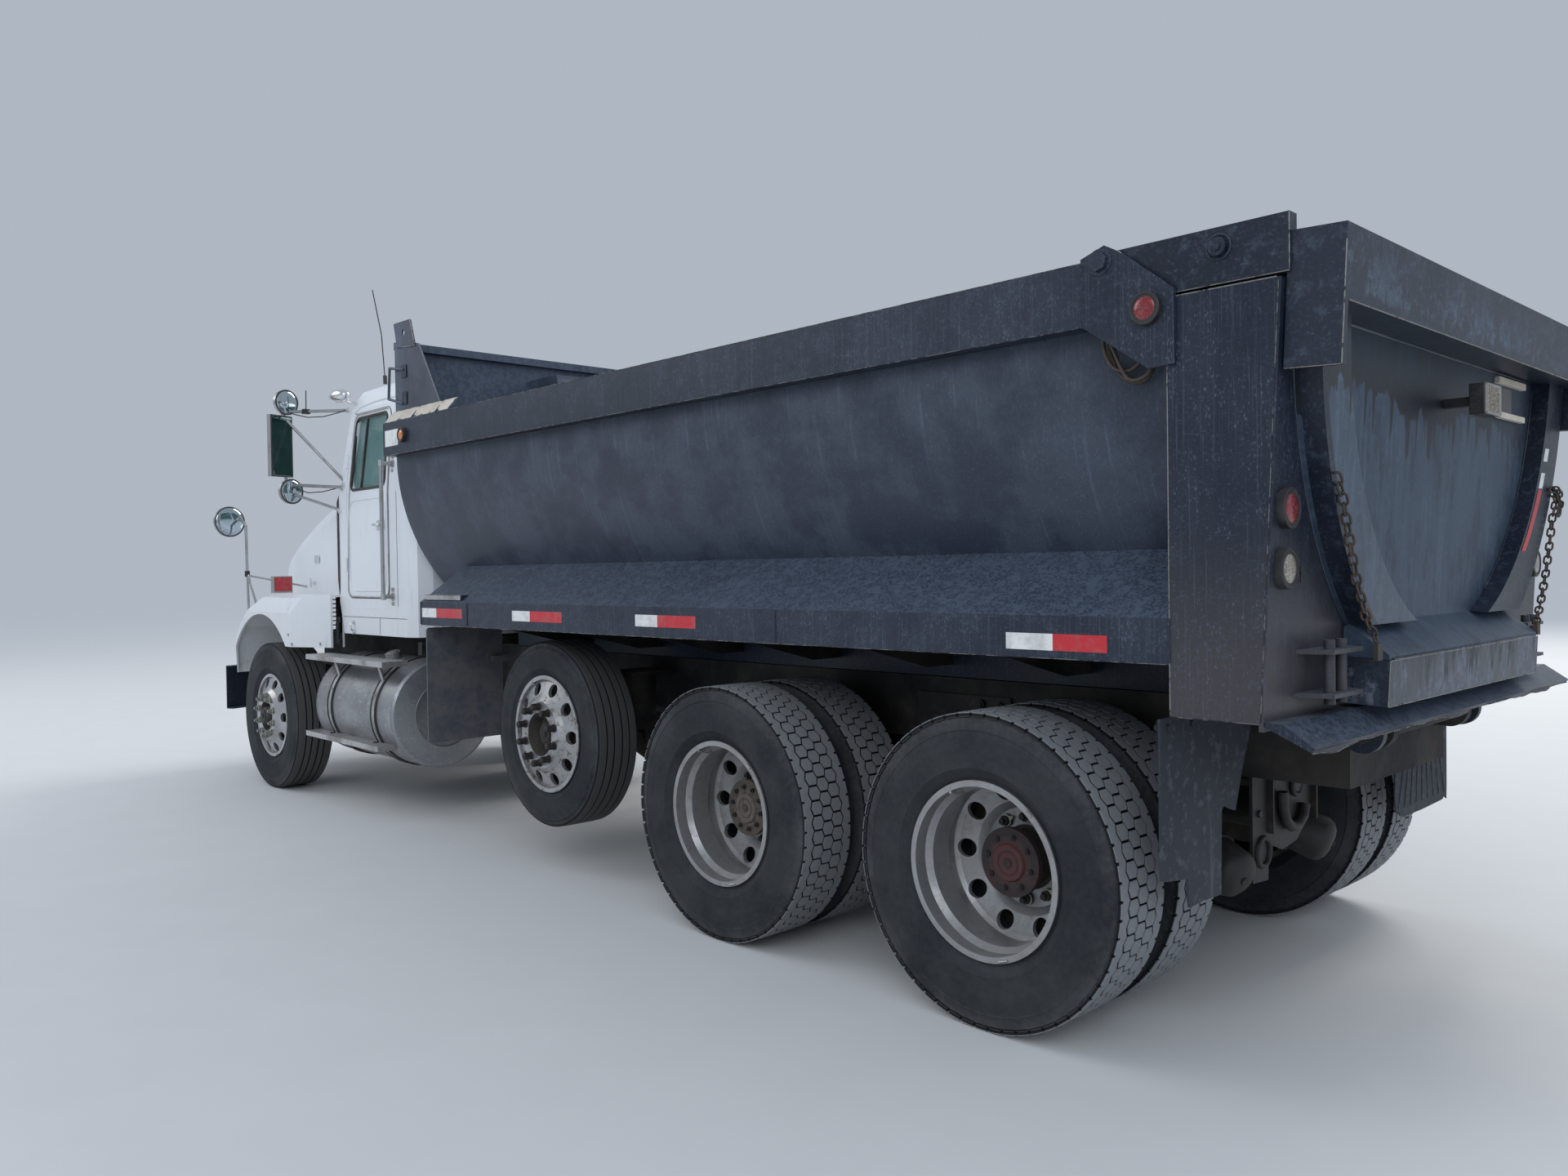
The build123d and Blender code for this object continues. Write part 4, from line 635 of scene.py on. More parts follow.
class Shape:
    """A mesh in the making. Tuples are places from the rearmost axle, mirrored where out is -1."""

    def __init__(self, out=1):
        self.mesh = bmesh.new()
        self.out = out

    def place(self, point):
        """A Vector is a finished place already."""
        return point if isinstance(point, Vector) else at(point[0], self.out * point[1], point[2])

    def way(self, axis):
        """Direction, mirrored as a place is."""
        return axis if isinstance(axis, Vector) else Vector((axis[0], self.out * axis[1], axis[2]))

    def join(self, loops, closed=False, ends=(0, -1)):
        """Skin over loops of places, closed round to the first one or with faces at the ends."""
        rings = [[self.mesh.verts.new(self.place(p)) for p in loop] for loop in loops]
        for low, high in zip(rings, rings[1:] + rings[:1] if closed else rings[1:]):
            for a in range(len(low)):
                self.mesh.faces.new((low[a - 1], low[a], high[a], high[a - 1]))
        for end in () if closed else ends:
            self.mesh.faces.new(rings[end])
        return self

    def prism(self, outline, depth):
        """Outline of places, and the same places moved by a depth, joined by sides."""
        low = [self.place(p) for p in outline]
        return self.join([low, [p + self.way(depth) for p in low]])

    def plate(self, corner, across, up, depth):
        """Flat block from a corner and its three edges."""
        return self.prism([corner, corner + across, corner + across + up, corner + up], depth)

    def box(self, *blocks):
        """Blocks of (x, y, z, length, width, height) from a corner; sizes may be negative."""
        for x, y, z, length, width, height in blocks:
            ends = ((x, y, z), (x + length, y, z), (x + length, y + width, z), (x, y + width, z))
            self.prism(ends, (0, 0, height))
        return self

    def disc(self, centre, axis, radius, depth, sides=24, turn=0.0):
        """Round or many-sided block: the face's centre, its outward axis and its depth behind."""
        axis = self.way(axis).normalized()
        return self.prism(round_points(self.place(centre), axis, radius, sides, turn), -axis * depth)

    def bottle(self, centre, axis, sections, sides):
        """Round body along an axis through sections of (reach, radius)."""
        return self.join([round_points(centre + axis * reach, axis, r, sides) for reach, r in sections])

    def dome(self, centre, axis, radius, height, rings=4, sides=28):
        """Lens standing out along its axis, closed behind."""
        angles = [0.5 * math.pi * n / rings for n in range(rings)]
        sections = [(height * math.sin(a), radius * math.cos(a)) for a in angles]
        return self.bottle(self.place(centre), self.way(axis).normalized(), sections, sides)

    def tube(self, path, radius, sides=8, closed=False):
        """Round tube along places, kept untwisted."""
        points = [self.place(p) for p in path]
        last = len(points) - 1
        angles = round_angles(sides)
        loops = []
        side = None
        for n, point in enumerate(points):
            before = points[n - 1] if n or closed else point
            after = points[n + 1 if n < last else 0] if n < last or closed else point
            run = (after - before).normalized()
            side = (side - run * side.dot(run) if side else run.orthogonal()).normalized()
            other = run.cross(side)
            loops.append([point + radius * (math.cos(a) * side + math.sin(a) * other) for a in angles])
        return self.join(loops, closed)

    def run(self, path, radius, parts=6, sides=6):
        """Tube along straight lines, each cut into parts so that it turns evenly."""
        points = [self.place(p) for p in path]
        steps = []
        for start, end in zip(points, points[1:]):
            steps += [start + (end - start) * n / parts for n in range(parts)]
        return self.tube(steps + [points[-1]], radius, sides)

    def ring(self, centre, axis, radius, bar, count, sides=8):
        """Round bar bent into a ring."""
        points = round_points(self.place(centre), self.way(axis), radius, count)
        return self.tube(points, bar, sides, True)

    def turned(self, outline, x, z, sides):
        """Closed outline of (radius, y) turned about a wheel's axis."""
        loops = [[wheel_place(x, z, a, r, y) for r, y in outline] for a in round_angles(sides)]
        return self.join(loops, True)

    def piece(self, name, body, finish, smooth=None, edge=None):
        """Puts the mesh in the scene as a named piece on a body; edge is the width of its bevel."""
        data = bpy.data.meshes.new(name)
        bmesh.ops.recalc_face_normals(self.mesh, faces=self.mesh.faces)
        self.mesh.to_mesh(data)
        self.mesh.free()
        data.materials.append(finish)
        made = bpy.data.objects.new(name, data)
        bpy.context.scene.collection.objects.link(made)
        if smooth:
            data.shade_smooth()
            data.set_sharp_from_angle(angle=math.radians(smooth))
        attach(made, body)
        if edge:
            modifier = made.modifiers.new("edge", "BEVEL")
            modifier.width = edge
            modifier.segments = 2
            modifier.limit_method = "ANGLE"
        return made


# Tyres

# share of the way from flange to tread, how far inside the widest place
SIDEWALL = ((0.16, 0.010), (0.20, 0.0045), (0.225, 0.0058), (0.45, 0.0005), (0.60, 0.0012), (0.76, 0.0085),
            (0.78, 0.0065))
# place across the tread, width
RIB_GROOVES = ((0.066, 0.011), (0.024, 0.012), (-0.024, 0.012), (-0.066, 0.011))
LUG_STEPS = 58
LUG_DEPTH = 0.013
LUG_GAP = 0.0040
LUG_FLANK_GAP = LUG_GAP * 1.09
ROW_Y = 0.0525
POINT = 0.0325
CORNER = 0.0200


def tyre_outline(y, radius, half, tread_half, grooves=(), depth=0.0):
    """Outline of (radius, y) with sidewall steps; grooves are (place, width) across the tread."""
    rise = radius - FLANGE_R
    bead_y = RIM_HALF - 0.0125
    side = [(0.2865, bead_y), (FLANGE_R + 0.004, bead_y), (FLANGE_R + 0.016, RIM_HALF - 0.004)]
    side += [(FLANGE_R + share * rise, half - inset) for share, inset in SIDEWALL]
    side += [(radius - 0.026, half - 0.0165), (radius - 0.009, tread_half + 0.004)]
    side += [(radius - 0.0015, tread_half - 0.004)]
    crown = []
    for place, width in grooves:
        for sink, share in ((0, 0.5), (depth, 0.3), (depth, -0.3), (0, -0.5)):
            crown.append((radius - sink, place + width * share))
    return [(r, y + d) for r, d in side + crown] + [(r, y - d) for r, d in reversed(side)]


def lugged_tyre(shape, x, y):
    """Drive tyre: three rows of six-sided blocks between zigzag shoulder ribs with notches."""
    floor = TYRE_R - LUG_DEPTH
    tread_half = TYRE_HALF - 0.022
    shape.turned(tyre_outline(y, floor + 0.0015, TYRE_HALF, tread_half), x, WHEEL_Z, 116)
    pitch = 2 * math.pi / LUG_STEPS
    long = pitch / 2 - LUG_GAP / TYRE_R
    tip = POINT - LUG_FLANK_GAP
    corner = tip - (POINT - CORNER) * long / (pitch / 2)
    edge = tread_half + 0.006
    valley = ROW_Y + POINT + LUG_FLANK_GAP
    block = ((0, tip), (long, corner), (long, -corner), (0, -tip), (-long, -corner), (-long, corner))
    shoulder = ((-0.5, valley), (0, ROW_Y + CORNER + LUG_FLANK_GAP), (0.5, valley), (0.5, edge), (0.10, edge),
                (0.06, edge - 0.012), (-0.06, edge - 0.012), (-0.10, edge), (-0.5, edge))
    lugs = []
    for row, shift in ((-ROW_Y, 0.5), (0.0, 0.0), (ROW_Y, 0.5)):
        lugs.append(([(a + shift * pitch, row + across) for a, across in block], TYRE_R))
    for side in (-1, 1):
        lugs.append(([(share * pitch, side * across) for share, across in shoulder], TYRE_R - 0.0012))
    for step in range(LUG_STEPS):
        for points, top in lugs:
            loops = []
            for r in (floor - 0.004, top):
                loops.append([wheel_place(x, WHEEL_Z, step * pitch + a, r, y + d) for a, d in points])
            shape.join(loops, ends=(-1,))


for side, out in SIDES:
    for words, half, wheel_y in (
        ("steer", TYRE_HALF, STEER_WHEEL_Y),
        ("pusher", PUSHER_TYRE_HALF, PUSHER_WHEEL_Y),
    ):
        x, z, radius, _ = AXLES[words]
        outline = tyre_outline(out * wheel_y, radius, half, half - 0.020, RIB_GROOVES, 0.010)
        tyre = Shape().turned(outline, x, z, 120)
        made = tyre.piece(f"ribbed_tyre_{words}_{side}", f"wheel_{words}_{side}", TYRE_FINISH[words], 38)
        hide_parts(f"tyre_{words}_{side}")
    for words in ("forward", "rear"):
        tyres = Shape()
        for wheel_y in (OUTER_DUAL_Y, INNER_DUAL_Y):
            lugged_tyre(tyres, AXLES[words][0], out * wheel_y)
        made = tyres.piece(f"lugged_tyres_{words}_{side}", f"wheels_{words}_{side}", TYRE_FINISH[words], 30)
        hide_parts(f"tyres_{words}_{side}")


def lean(back, y, z):
    """Place on the tailgate: back is the distance behind the rear plane before it leans."""
    up = z - POST_LOW
    x = REAR_PLANE_X - back * math.cos(REAR_LEAN) - up * math.sin(REAR_LEAN)
    return at(x, y, POST_LOW - back * math.sin(REAR_LEAN) + up * math.cos(REAR_LEAN))


# Lamps

BED_LAMPS = (
    # name, place, outward axis, lens radius, finish
    ("rail_marker", (4.115, HALF_WIDTH + 0.0215, 2.341), (0, 1, 0), 0.031, AMBER_LENS),
    ("plate_lamp", (-0.636, HALF_WIDTH + 0.0275, 2.256), (0, 1, 0), 0.037, RED_LENS),
    ("stop_lamp", (-1.0095, 1.145, 1.672), (-1, 0, 0), 0.044, RED_LENS),
    ("reverse_lamp", (-1.0025, 1.145, 1.510), (-1, 0, 0), 0.044, STAINED_LENS),
)
for name, centre, axis, radius, finish in BED_LAMPS:
    for side, out in SIDES:
        raised = Shape(out)
        face = raised.place(centre)
        outward = raised.way(axis)
        raised.dome(face - outward * 0.003, outward, radius, 0.008)
        raised.piece(f"{name}_lens_{side}", "bed", finish, 40)
        grommet = Shape().ring(face - outward * 0.002, outward, radius + 0.006, 0.0055, 36)
        grommet.piece(f"{name}_grommet_{side}", "bed", BLACK_PLASTIC, 60)

# Work lamp: the body keeps the solid's box and stem, with a ribbed lens in a bright rim
LAMP_Y = 0.075
work_lamp = Shape().box(
    (-1.1665, -LAMP_Y, 1.995, 0.0465, 2 * LAMP_Y, 0.100), (-1.1215, -0.020, 2.030, 0.0965, 0.040, 0.030)
)
for z in (2.012, 2.032, 2.052, 2.072):
    work_lamp.box((-1.150, -LAMP_Y - 0.002, z, 0.026, 2 * LAMP_Y + 0.004, 0.006))
body = work_lamp.piece("work_lamp_body", "tailgate", BLACK_PLASTIC, edge=0.004)
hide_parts("gate_lamp")
rim = Shape()
corners = [(-1.1685, y, z) for y, z in ((-0.070, 2.000), (0.070, 2.000), (0.070, 2.090), (-0.070, 2.090))]
for start, end in zip(corners, corners[1:] + corners[:1]):
    rim.run((start, end), 0.0055, 2, 8)
rim.piece("work_lamp_rim", "tailgate", LAMP_METAL, 50)
ribbed = Shape().box((-1.1700, -0.066, 2.004, 0.004, 0.132, 0.082))
for rib in range(9):
    ribbed.box((-1.1725, -0.060 + 0.0145 * rib, 2.006, 0.003, 0.005, 0.078))
ribbed.piece("work_lamp_lens", "tailgate", STAINED_LENS, edge=0.0010)
bars = Shape().box((-1.050, -0.826, 2.165, 0.020, 0.320, 0.024))
bars.box((-1.050, -0.810, 2.040, 0.020, 0.300, 0.022))
bars.piece("gate_weld_bars", "tailgate", GRIT, edge=0.002)
grey = Shape().box((-1.0345, -0.700, 2.058, 0.004, 0.250, 0.098))
grey.piece("gate_grey_plate", "tailgate", TRIM_GREY, edge=0.0015)

for side, out in SIDES:
    front = Shape(out).box((7.2165, 0.805, 0.945, -0.003, 0.240, 0.150))
    front.piece(f"headlamp_lens_{side}", "hood", CLEAR_LENS, edge=0.002)
    fender = Shape(out)
    for x, depth in ((6.4370, 0.004), (6.5030, -0.004)):
        fender.box((x, 1.011, 1.421, depth, 0.123, 0.102))
        for rib in range(5):
            fender.box((x - depth * 0.5, 1.020 + 0.0235 * rib, 1.426, depth, 0.009, 0.092))
    fender.box((6.4370, 1.1340, 1.421, 0.066, -0.003, 0.102))
    fender.box((6.4370, 1.0110, 1.5230, 0.066, 0.123, -0.003))
    fender.piece(f"fender_lamp_lens_{side}", "hood", LAMP_RED, edge=0.0012)


# Reflective tape on the sills and rails

TAPE_THICK = 0.0009
SILL_TAPES = (
    # front x, rear x, low z, share of white
    (3.925, 3.456, 1.285, 0.37),
    (2.930, 2.468, 1.285, 0.37),
    (1.871, 1.447, 1.285, 0.38),
    (-0.126, -0.490, 1.265, 0.48),
)
for side, out in SIDES:
    white = Shape(out).box((4.362, HALF_WIDTH, 2.290, -0.171, TAPE_THICK, 0.095))
    red = Shape(out)
    for front, rear, low, share in SILL_TAPES:
        split = front + (rear - front) * share
        white.box((front, HALF_WIDTH, low, split - front, TAPE_THICK, 0.052))
        red.box((split, HALF_WIDTH, low, rear - split, TAPE_THICK, 0.052))
    white.piece(f"sill_tape_white_{side}", "bed", TAPE_WHITE)
    red.piece(f"sill_tape_red_{side}", "bed", TAPE_RED)


# Tailgate fittings


def gate_frame_y(z):
    """Half width of the tailgate's round outline at a height."""
    drop = min(TUB_Z - z, GATE_R - 0.001)
    return math.sqrt(GATE_R * GATE_R - drop * drop) if drop > 0 else GATE_R


white = Shape()
red = Shape()
for low, high, tapes in ((1.905, 1.955, white), (1.800, 1.860, white), (1.560, 1.795, red)):
    heights = [low + (high - low) * n / 6 for n in range(7)]
    outline = [lean(0.0818, -(gate_frame_y(z) + 0.072), z) for z in heights]
    outline += [lean(0.0818, -(gate_frame_y(z) + 0.024), z) for z in reversed(heights)]
    tapes.prism(outline, (-TAPE_THICK, 0, 0))
white.piece("gate_tape_white", "tailgate", TAPE_WHITE)
red.piece("gate_tape_red", "tailgate", TAPE_RED)

bolts = Shape()
nuts = Shape()
welds = Shape()
for out in (1, -1):
    bolts.out = nuts.out = out
    bolts.disc((-0.841, 1.2235, 2.392), (0, 1, 0), 0.0245, 0.006, 32)
    bolts.disc((-0.841, 1.2285, 2.392), (0, 1, 0), 0.0125, 0.008, 6)
    bolts.ring((-0.841, 1.2090, 2.392), LEFTWARD, 0.034, 0.004, 32)
    nuts.disc((-0.484, 1.2455, 2.418), (0, 1, 0), 0.030, 0.012, 6)
    nuts.disc((-0.484, 1.2345, 2.418), (0, 1, 0), 0.040, 0.005, 32)
    heights = [1.42 + 0.05 * n for n in range(16)]
    welds.tube([lean(0.022, out * (gate_frame_y(z) - 0.004), z) for z in heights], 0.004, 6)
bolts.piece("gate_arm_bolts", "tailgate", RAIL_BLACK, 40)
nuts.piece("gate_pivot_nuts", "bed", RAIL_BLACK, edge=0.002)
welds.tube([lean(0.0215, y * 0.1, 2.2035) for y in range(-11, 12)], 0.004, 6)
welds.tube([lean(0.139, y * 0.1, 1.249) for y in range(-7, 8)], 0.004, 6)
welds.piece("gate_welds", "tailgate", GATE_BLACK, 60)

LINK_LENGTH = 0.044
LINK_WIDTH = 0.030
LINK_BAR = 0.0075


def add_link(shape, middle, along, flat):
    """Round-bar oval link: along its length, flat across its opening."""
    flat = (flat - along * flat.dot(along)).normalized()
    straight = (LINK_LENGTH - LINK_WIDTH) / 2
    radius = (LINK_WIDTH - LINK_BAR) / 2
    points = []
    for sign in (1, -1):
        for step in range(8):
            angle = math.pi * step / 7
            reach = along * (straight + radius * math.sin(angle))
            points.append(middle + sign * (reach + flat * radius * math.cos(angle)))
    shape.tube(points, LINK_BAR / 2, 8, True)


def add_chain(shape, path):
    """Links laid end to end along a path on the gate, each turned a quarter from the one before."""
    points = [lean(*p) for p in path]
    spans = [(b - a).length for a, b in zip(points, points[1:])]
    total = sum(spans)
    count = int(total / (LINK_LENGTH - 2 * LINK_BAR))
    for index in range(count):
        reach = (index + 0.5) * total / count
        for a, b, span in zip(points, points[1:], spans):
            if reach <= span:
                break
            reach -= span
        run = (b - a).normalized()
        turn = math.radians(45 + 90 * (index % 2) + 9 * math.sin(index * 1.7))
        quarter = Matrix.Rotation(turn, 3, run)
        add_link(shape, a + run * min(reach, span), run, quarter @ run.orthogonal())


GATE_CHAINS = {
    # paths of (distance behind the rear plane, y, z); the first ends at the eye on the low box
    "left": (
        ((0.086, 1.030, 1.770), (0.096, 1.000, 1.700), (0.100, 0.955, 1.590), (0.104, 0.905, 1.480),
         (0.110, 0.845, 1.380), (0.120, 0.780, 1.300)),
    ),
    "right": (
        ((0.088, -1.030, 1.800), (0.098, -1.060, 1.755), (0.098, -1.020, 1.690), (0.102, -0.985, 1.590),
         (0.108, -0.930, 1.480), (0.116, -0.850, 1.370), (0.126, -0.760, 1.290)),
        ((0.100, -1.030, 1.810), (0.108, -1.075, 1.750), (0.108, -1.040, 1.700)),
        ((0.090, -1.000, 1.800), (0.100, -1.050, 1.800), (0.110, -1.085, 1.780)),
    ),
}
for side, paths in GATE_CHAINS.items():
    chain = Shape()
    for path in paths:
        add_chain(chain, path)
    if side == "right":
        turns = [0.5 * n for n in range(9)]
        hook = [lean(0.104, -1.075 - 0.020 * math.sin(a), 1.730 + 0.032 * math.cos(a)) for a in turns]
        chain.tube(hook, 0.007)
    back, y, _ = paths[0][-1]
    eye = lean(back + 0.012, y - 0.018, 1.250)
    chain.plate(eye, Vector((0, 0.036, 0)), Vector((0, 0, 0.050)), (0.012, 0, 0))
    made = chain.piece(f"gate_chain_{side}", "tailgate", CHAIN_METAL, 60)
    if side == "left":
        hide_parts("gate_chains")


# Bed trim

welds = Shape()
for welds.out in (1, -1):
    for x in (0.958, 3.40):
        welds.tube([(x, HALF_WIDTH + 0.0005, z) for z in (1.246, 1.280, 1.320, 1.366)], 0.0035, 6)
    welds.tube([(4.36 - 0.1 * n, TUB_R + 0.004, 2.2365) for n in range(47)], 0.004, 6)
    for x in (3.94, -0.69):
        welds.tube([(x, 1.2195, z) for z in (1.245, 1.300, 1.372)], 0.004, 6)
welds.piece("bed_welds", "bed", BED_BLACK, 60)

# Grit caught on the front of the rail's ledge, paled partly by painted sunlight, with the two dark strips
# that cross it, which are painted shadows
GRIT_COLUMNS = 70
GRIT_ROWS = 7
for side, out in SIDES:
    # Painted sunlight with real grit: this pale patch stands for the sunlit ledge.
    grit = Shape(out)
    rows = []
    for i in range(GRIT_COLUMNS + 1):
        x = 3.585 + 0.790 * i / GRIT_COLUMNS
        row = []
        for t in [j / GRIT_ROWS for j in range(GRIT_ROWS + 1)]:
            ridge = 0.006 * math.sin(19.0 * x + 5.0 * t) * math.sin(47.0 * x - 3.0 * t)
            lift = 0.003 + 0.006 * abs(math.sin(31.0 * x + 9.0 * t)) + ridge
            lift = max(lift * math.sin(math.pi * (0.06 + 0.88 * t)), 0.0005)
            place = grit.place((x, 1.216 - 0.062 * t, 2.4325 + 0.0705 * t + lift))
            row.append(grit.mesh.verts.new(place))
        rows.append(row)
    for near, far in zip(rows, rows[1:]):
        for j in range(GRIT_ROWS):
            grit.mesh.faces.new((near[j], far[j], far[j + 1], near[j + 1]))
    grit.piece(f"ledge_grit_and_sunlight_{side}", "bed", GRIT, 50)
    # Painted shadows: dark tubes across the ledge and dark plates on the headboard side stand for shadow
    # lines.
    shadow_strips = Shape(out)
    for x in (4.010, 3.720):
        shadow_line = [(x + 0.004 * n, 1.2185 - 0.016 * n, 2.434 + 0.0175 * n) for n in range(5)]
        shadow_strips.tube(shadow_line, 0.005, 6)
    for z in (2.535, 2.695):
        shadow_strips.box((4.262, 1.1545, z, -0.060, 0.0015, 0.075))
    shadow_strips.piece(f"ledge_shadow_strips_{side}", "bed", BED_BLACK)

# Pale bar ahead of each slope
for side, out in SIDES:
    bar = Shape(out).box((3.490, 1.205, 1.4115, 0.400, -0.048, 0.0015))
    bar.box((3.484, 1.2125, 1.385, 0.412, 0.0015, 0.024))
    bar.piece(f"slope_bar_skin_{side}", "bed", STEP_METAL, edge=0.001)

# Edges rubbed through to pale metal, the line along the rail's top edge also a painted highlight: radius, y,
# path of (x, z)
PALE_EDGES = (
    (0.0019, HALF_WIDTH, ((-0.6905, 2.276), (-0.6905, 1.096))),
    (0.0019, HALF_WIDTH, ((-0.694, 2.2800), (-1.006, 2.2800))),
    (0.0022, TUB_R, ((4.3180, 2.9180), (4.0460, 2.8700), (3.7500, 2.4300))),
    (0.0024, 1.1540, ((4.318, 2.882), (4.355, 3.0285), (4.148, 3.0245), (4.088, 2.862), (4.318, 2.882))),
)
FAINT_EDGES = (
    (0.0017, HALF_WIDTH, ((-0.9525, 1.096), (-1.0100, 2.276))),
    (0.0016, HALF_WIDTH, ((-0.694, 1.0925), (-0.948, 1.0925))),
    # Rail's top edge: rubbed paint and a painted highlight.
    (0.0016, HALF_WIDTH, ((-0.420, 2.4305), (4.385, 2.4305))),
    (0.0014, HALF_WIDTH, ((-0.430, 2.2385), (4.385, 2.2385))),
    (0.0014, HALF_WIDTH, ((-0.680, 1.2405), (3.935, 1.2405))),
)
GATE_EDGES = (
    # radius, path of (distance behind the rear plane, y, z)
    (0.0018, ((0.1560, 1.2000, 2.042), (0.1560, 1.2000, 2.355))),
    (0.0016, ((0.0080, 1.2000, 2.0400), (0.1550, 1.2000, 2.0400))),
    (0.0018, ((0.1410, 0.7300, 1.245), (0.1410, 0.7300, 1.114))),
)
GATE_ARM_EDGE = ((-0.562, 2.2925), (-1.0345, 2.2925), (-1.0345, 2.445))
pale = Shape().box((4.3342, -1.148, 2.9035, 0.0007, 2.296, 0.0170))
faint = Shape()
gate = Shape()
for out in (1, -1):
    for edges, lines in ((pale, PALE_EDGES), (faint, FAINT_EDGES)):
        edges.out = out
        for radius, y, path in lines:
            edges.run([(x, y, z) for x, z in path], radius)
    gate.out = out
    for radius, path in GATE_EDGES:
        gate.run([lean(back, out * y, z) for back, y, z in path], radius)
    gate.run([(x, 1.2080, z) for x, z in GATE_ARM_EDGE], 0.0018)
for back, half, z in ((0.1410, 0.728, 1.2465), (0.1410, 0.728, 1.1125), (0.1560, 1.172, 2.2055)):
    gate.run([lean(back, -half, z), lean(back, half, z)], 0.0017)
pale.piece("bed_pale_edges", "bed", EDGE_PALE, 60)
faint.piece("bed_faint_edges", "bed", EDGE_FAINT, 60)
gate.piece("gate_pale_edges", "tailgate", EDGE_PALE, 60)

# Torn lip along the rear of the apron, with a pale line along its edge that is a painted highlight
LIP_STEPS = 97
LIP_THICK = 0.0028
lip = Shape()
torn = []
for step in range(LIP_STEPS + 1):
    y = -1.2125 + 2.425 * step / LIP_STEPS
    drop = 0.003 + 0.006 * math.sin(7.0 * y + 0.6) + 0.004 * math.sin(19.0 * y)
    drop = max(drop + 0.0015 * math.sin(47.0 * y + 1.0), 0.002)
    torn.append((-1.0880 - 0.004 * math.sin(13.0 * y), y, 1.031 - drop))
for (x, y, low), (next_x, next_y, next_low) in zip(torn, torn[1:]):
    for depth in (0.0, LIP_THICK):
        corners = [(-1.0870, y, 1.036), (-1.0870, next_y, 1.036), (next_x, next_y, next_low), (x, y, low)]
        lip.mesh.faces.new([lip.mesh.verts.new(at(a + depth, b, c)) for a, b, c in corners])
bmesh.ops.remove_doubles(lip.mesh, verts=lip.mesh.verts, dist=0.00001)
lip.piece("apron_torn_lip", "bed", FRAME_BLACK)
# Painted highlight: a pale tube along the torn edge.
lip_highlight = Shape().tube([(x + LIP_THICK / 2, y, low) for x, y, low in torn], 0.0022, 6)
lip_highlight.piece("apron_rubbed_edge", "bed", EDGE_FAINT, 60)

# Wiring looped below the left gate hinge: paths of (x, z), each further out than the one before
LOOPS = (
    ((-0.470, 2.215), (-0.478, 2.150), (-0.515, 2.085), (-0.580, 2.062), (-0.620, 2.105), (-0.632, 2.190),
     (-0.640, 2.225)),
    ((-0.462, 2.225), (-0.462, 2.170), (-0.490, 2.115), (-0.545, 2.098), (-0.590, 2.130), (-0.612, 2.185),
     (-0.622, 2.222)),
    ((-0.476, 2.222), (-0.500, 2.165), (-0.548, 2.072), (-0.612, 2.078), (-0.628, 2.130), (-0.606, 2.200),
     (-0.600, 2.225)),
    ((-0.470, 2.205), (-0.520, 2.180), (-0.580, 2.185), (-0.640, 2.200), (-0.655, 2.205), (-0.660, 2.215),
     (-0.662, 2.226)),
)
wiring = Shape()
for index, loop in enumerate(LOOPS):
    points = [at(x, 1.160 + 0.013 * index, z) for x, z in loop]
    smooth = []
    for a, b, c, d in zip(points[:1] + points, points, points[1:], points[2:] + points[-1:]):
        for t in (0.0, 0.25, 0.5, 0.75):
            bend = (c - a) * t + (2 * a - 5 * b + 4 * c - d) * t * t + (3 * b - a - 3 * c + d) * t * t * t
            smooth.append(b + 0.5 * bend)
    wiring.tube(smooth + [points[-1]], 0.0062)
wiring.piece("hinge_wiring", "bed", WIRE_BROWN, 60)

# Oil hole beside the reverse lamp with its run of oil
oil = Shape().disc((-0.992, 1.040, 1.505), (-1, 0, 0), 0.013, 0.002, 20)
oil.box((-0.9905, 1.034, 1.470, 0.002, 0.016, 0.045))
oil.piece("post_oil_hole", "bed", BLACK_PLASTIC)


# Mud flaps: the left one torn, the right one ribbed in a fan; outlines of (y, z)

TORN_FLAP = (
    (1.204, 1.080), (1.205, 0.800), (1.205, 0.612), (1.180, 0.606), (1.120, 0.598), (1.052, 0.590),
    (1.046, 0.520), (1.040, 0.502), (0.960, 0.506), (0.842, 0.502), (0.838, 0.640), (0.834, 0.762),
    (0.822, 0.774), (0.775, 0.757), (0.744, 0.748), (0.700, 0.860), (0.640, 0.985), (0.628, 1.080),
)
RIBBED_FLAP = (
    (-0.612, 1.080), (-0.612, 0.560), (-0.622, 0.528), (-0.640, 0.536), (-0.668, 0.512), (-0.700, 0.503),
    (-0.900, 0.502), (-1.150, 0.508), (-1.172, 0.520), (-1.200, 0.505), (-1.204, 0.560), (-1.204, 1.080),
)
GUARD = (
    (0.722, 0.575), (0.735, 0.562), (1.190, 0.562), (1.203, 0.575), (1.203, 1.210), (1.190, 1.223),
    (0.735, 1.223), (0.722, 1.210),
)


def flap_sheet(outline, thick, bolts):
    """Hanging sheet with bolt heads along its top, behind it."""
    shape = Shape().prism([(FLAP_X, y, z) for y, z in outline], (-thick, 0, 0))
    for y in bolts:
        shape.disc((FLAP_X - thick - 0.0055, y, 1.050), (-1, 0, 0), 0.011, 0.006, 6)
    return shape


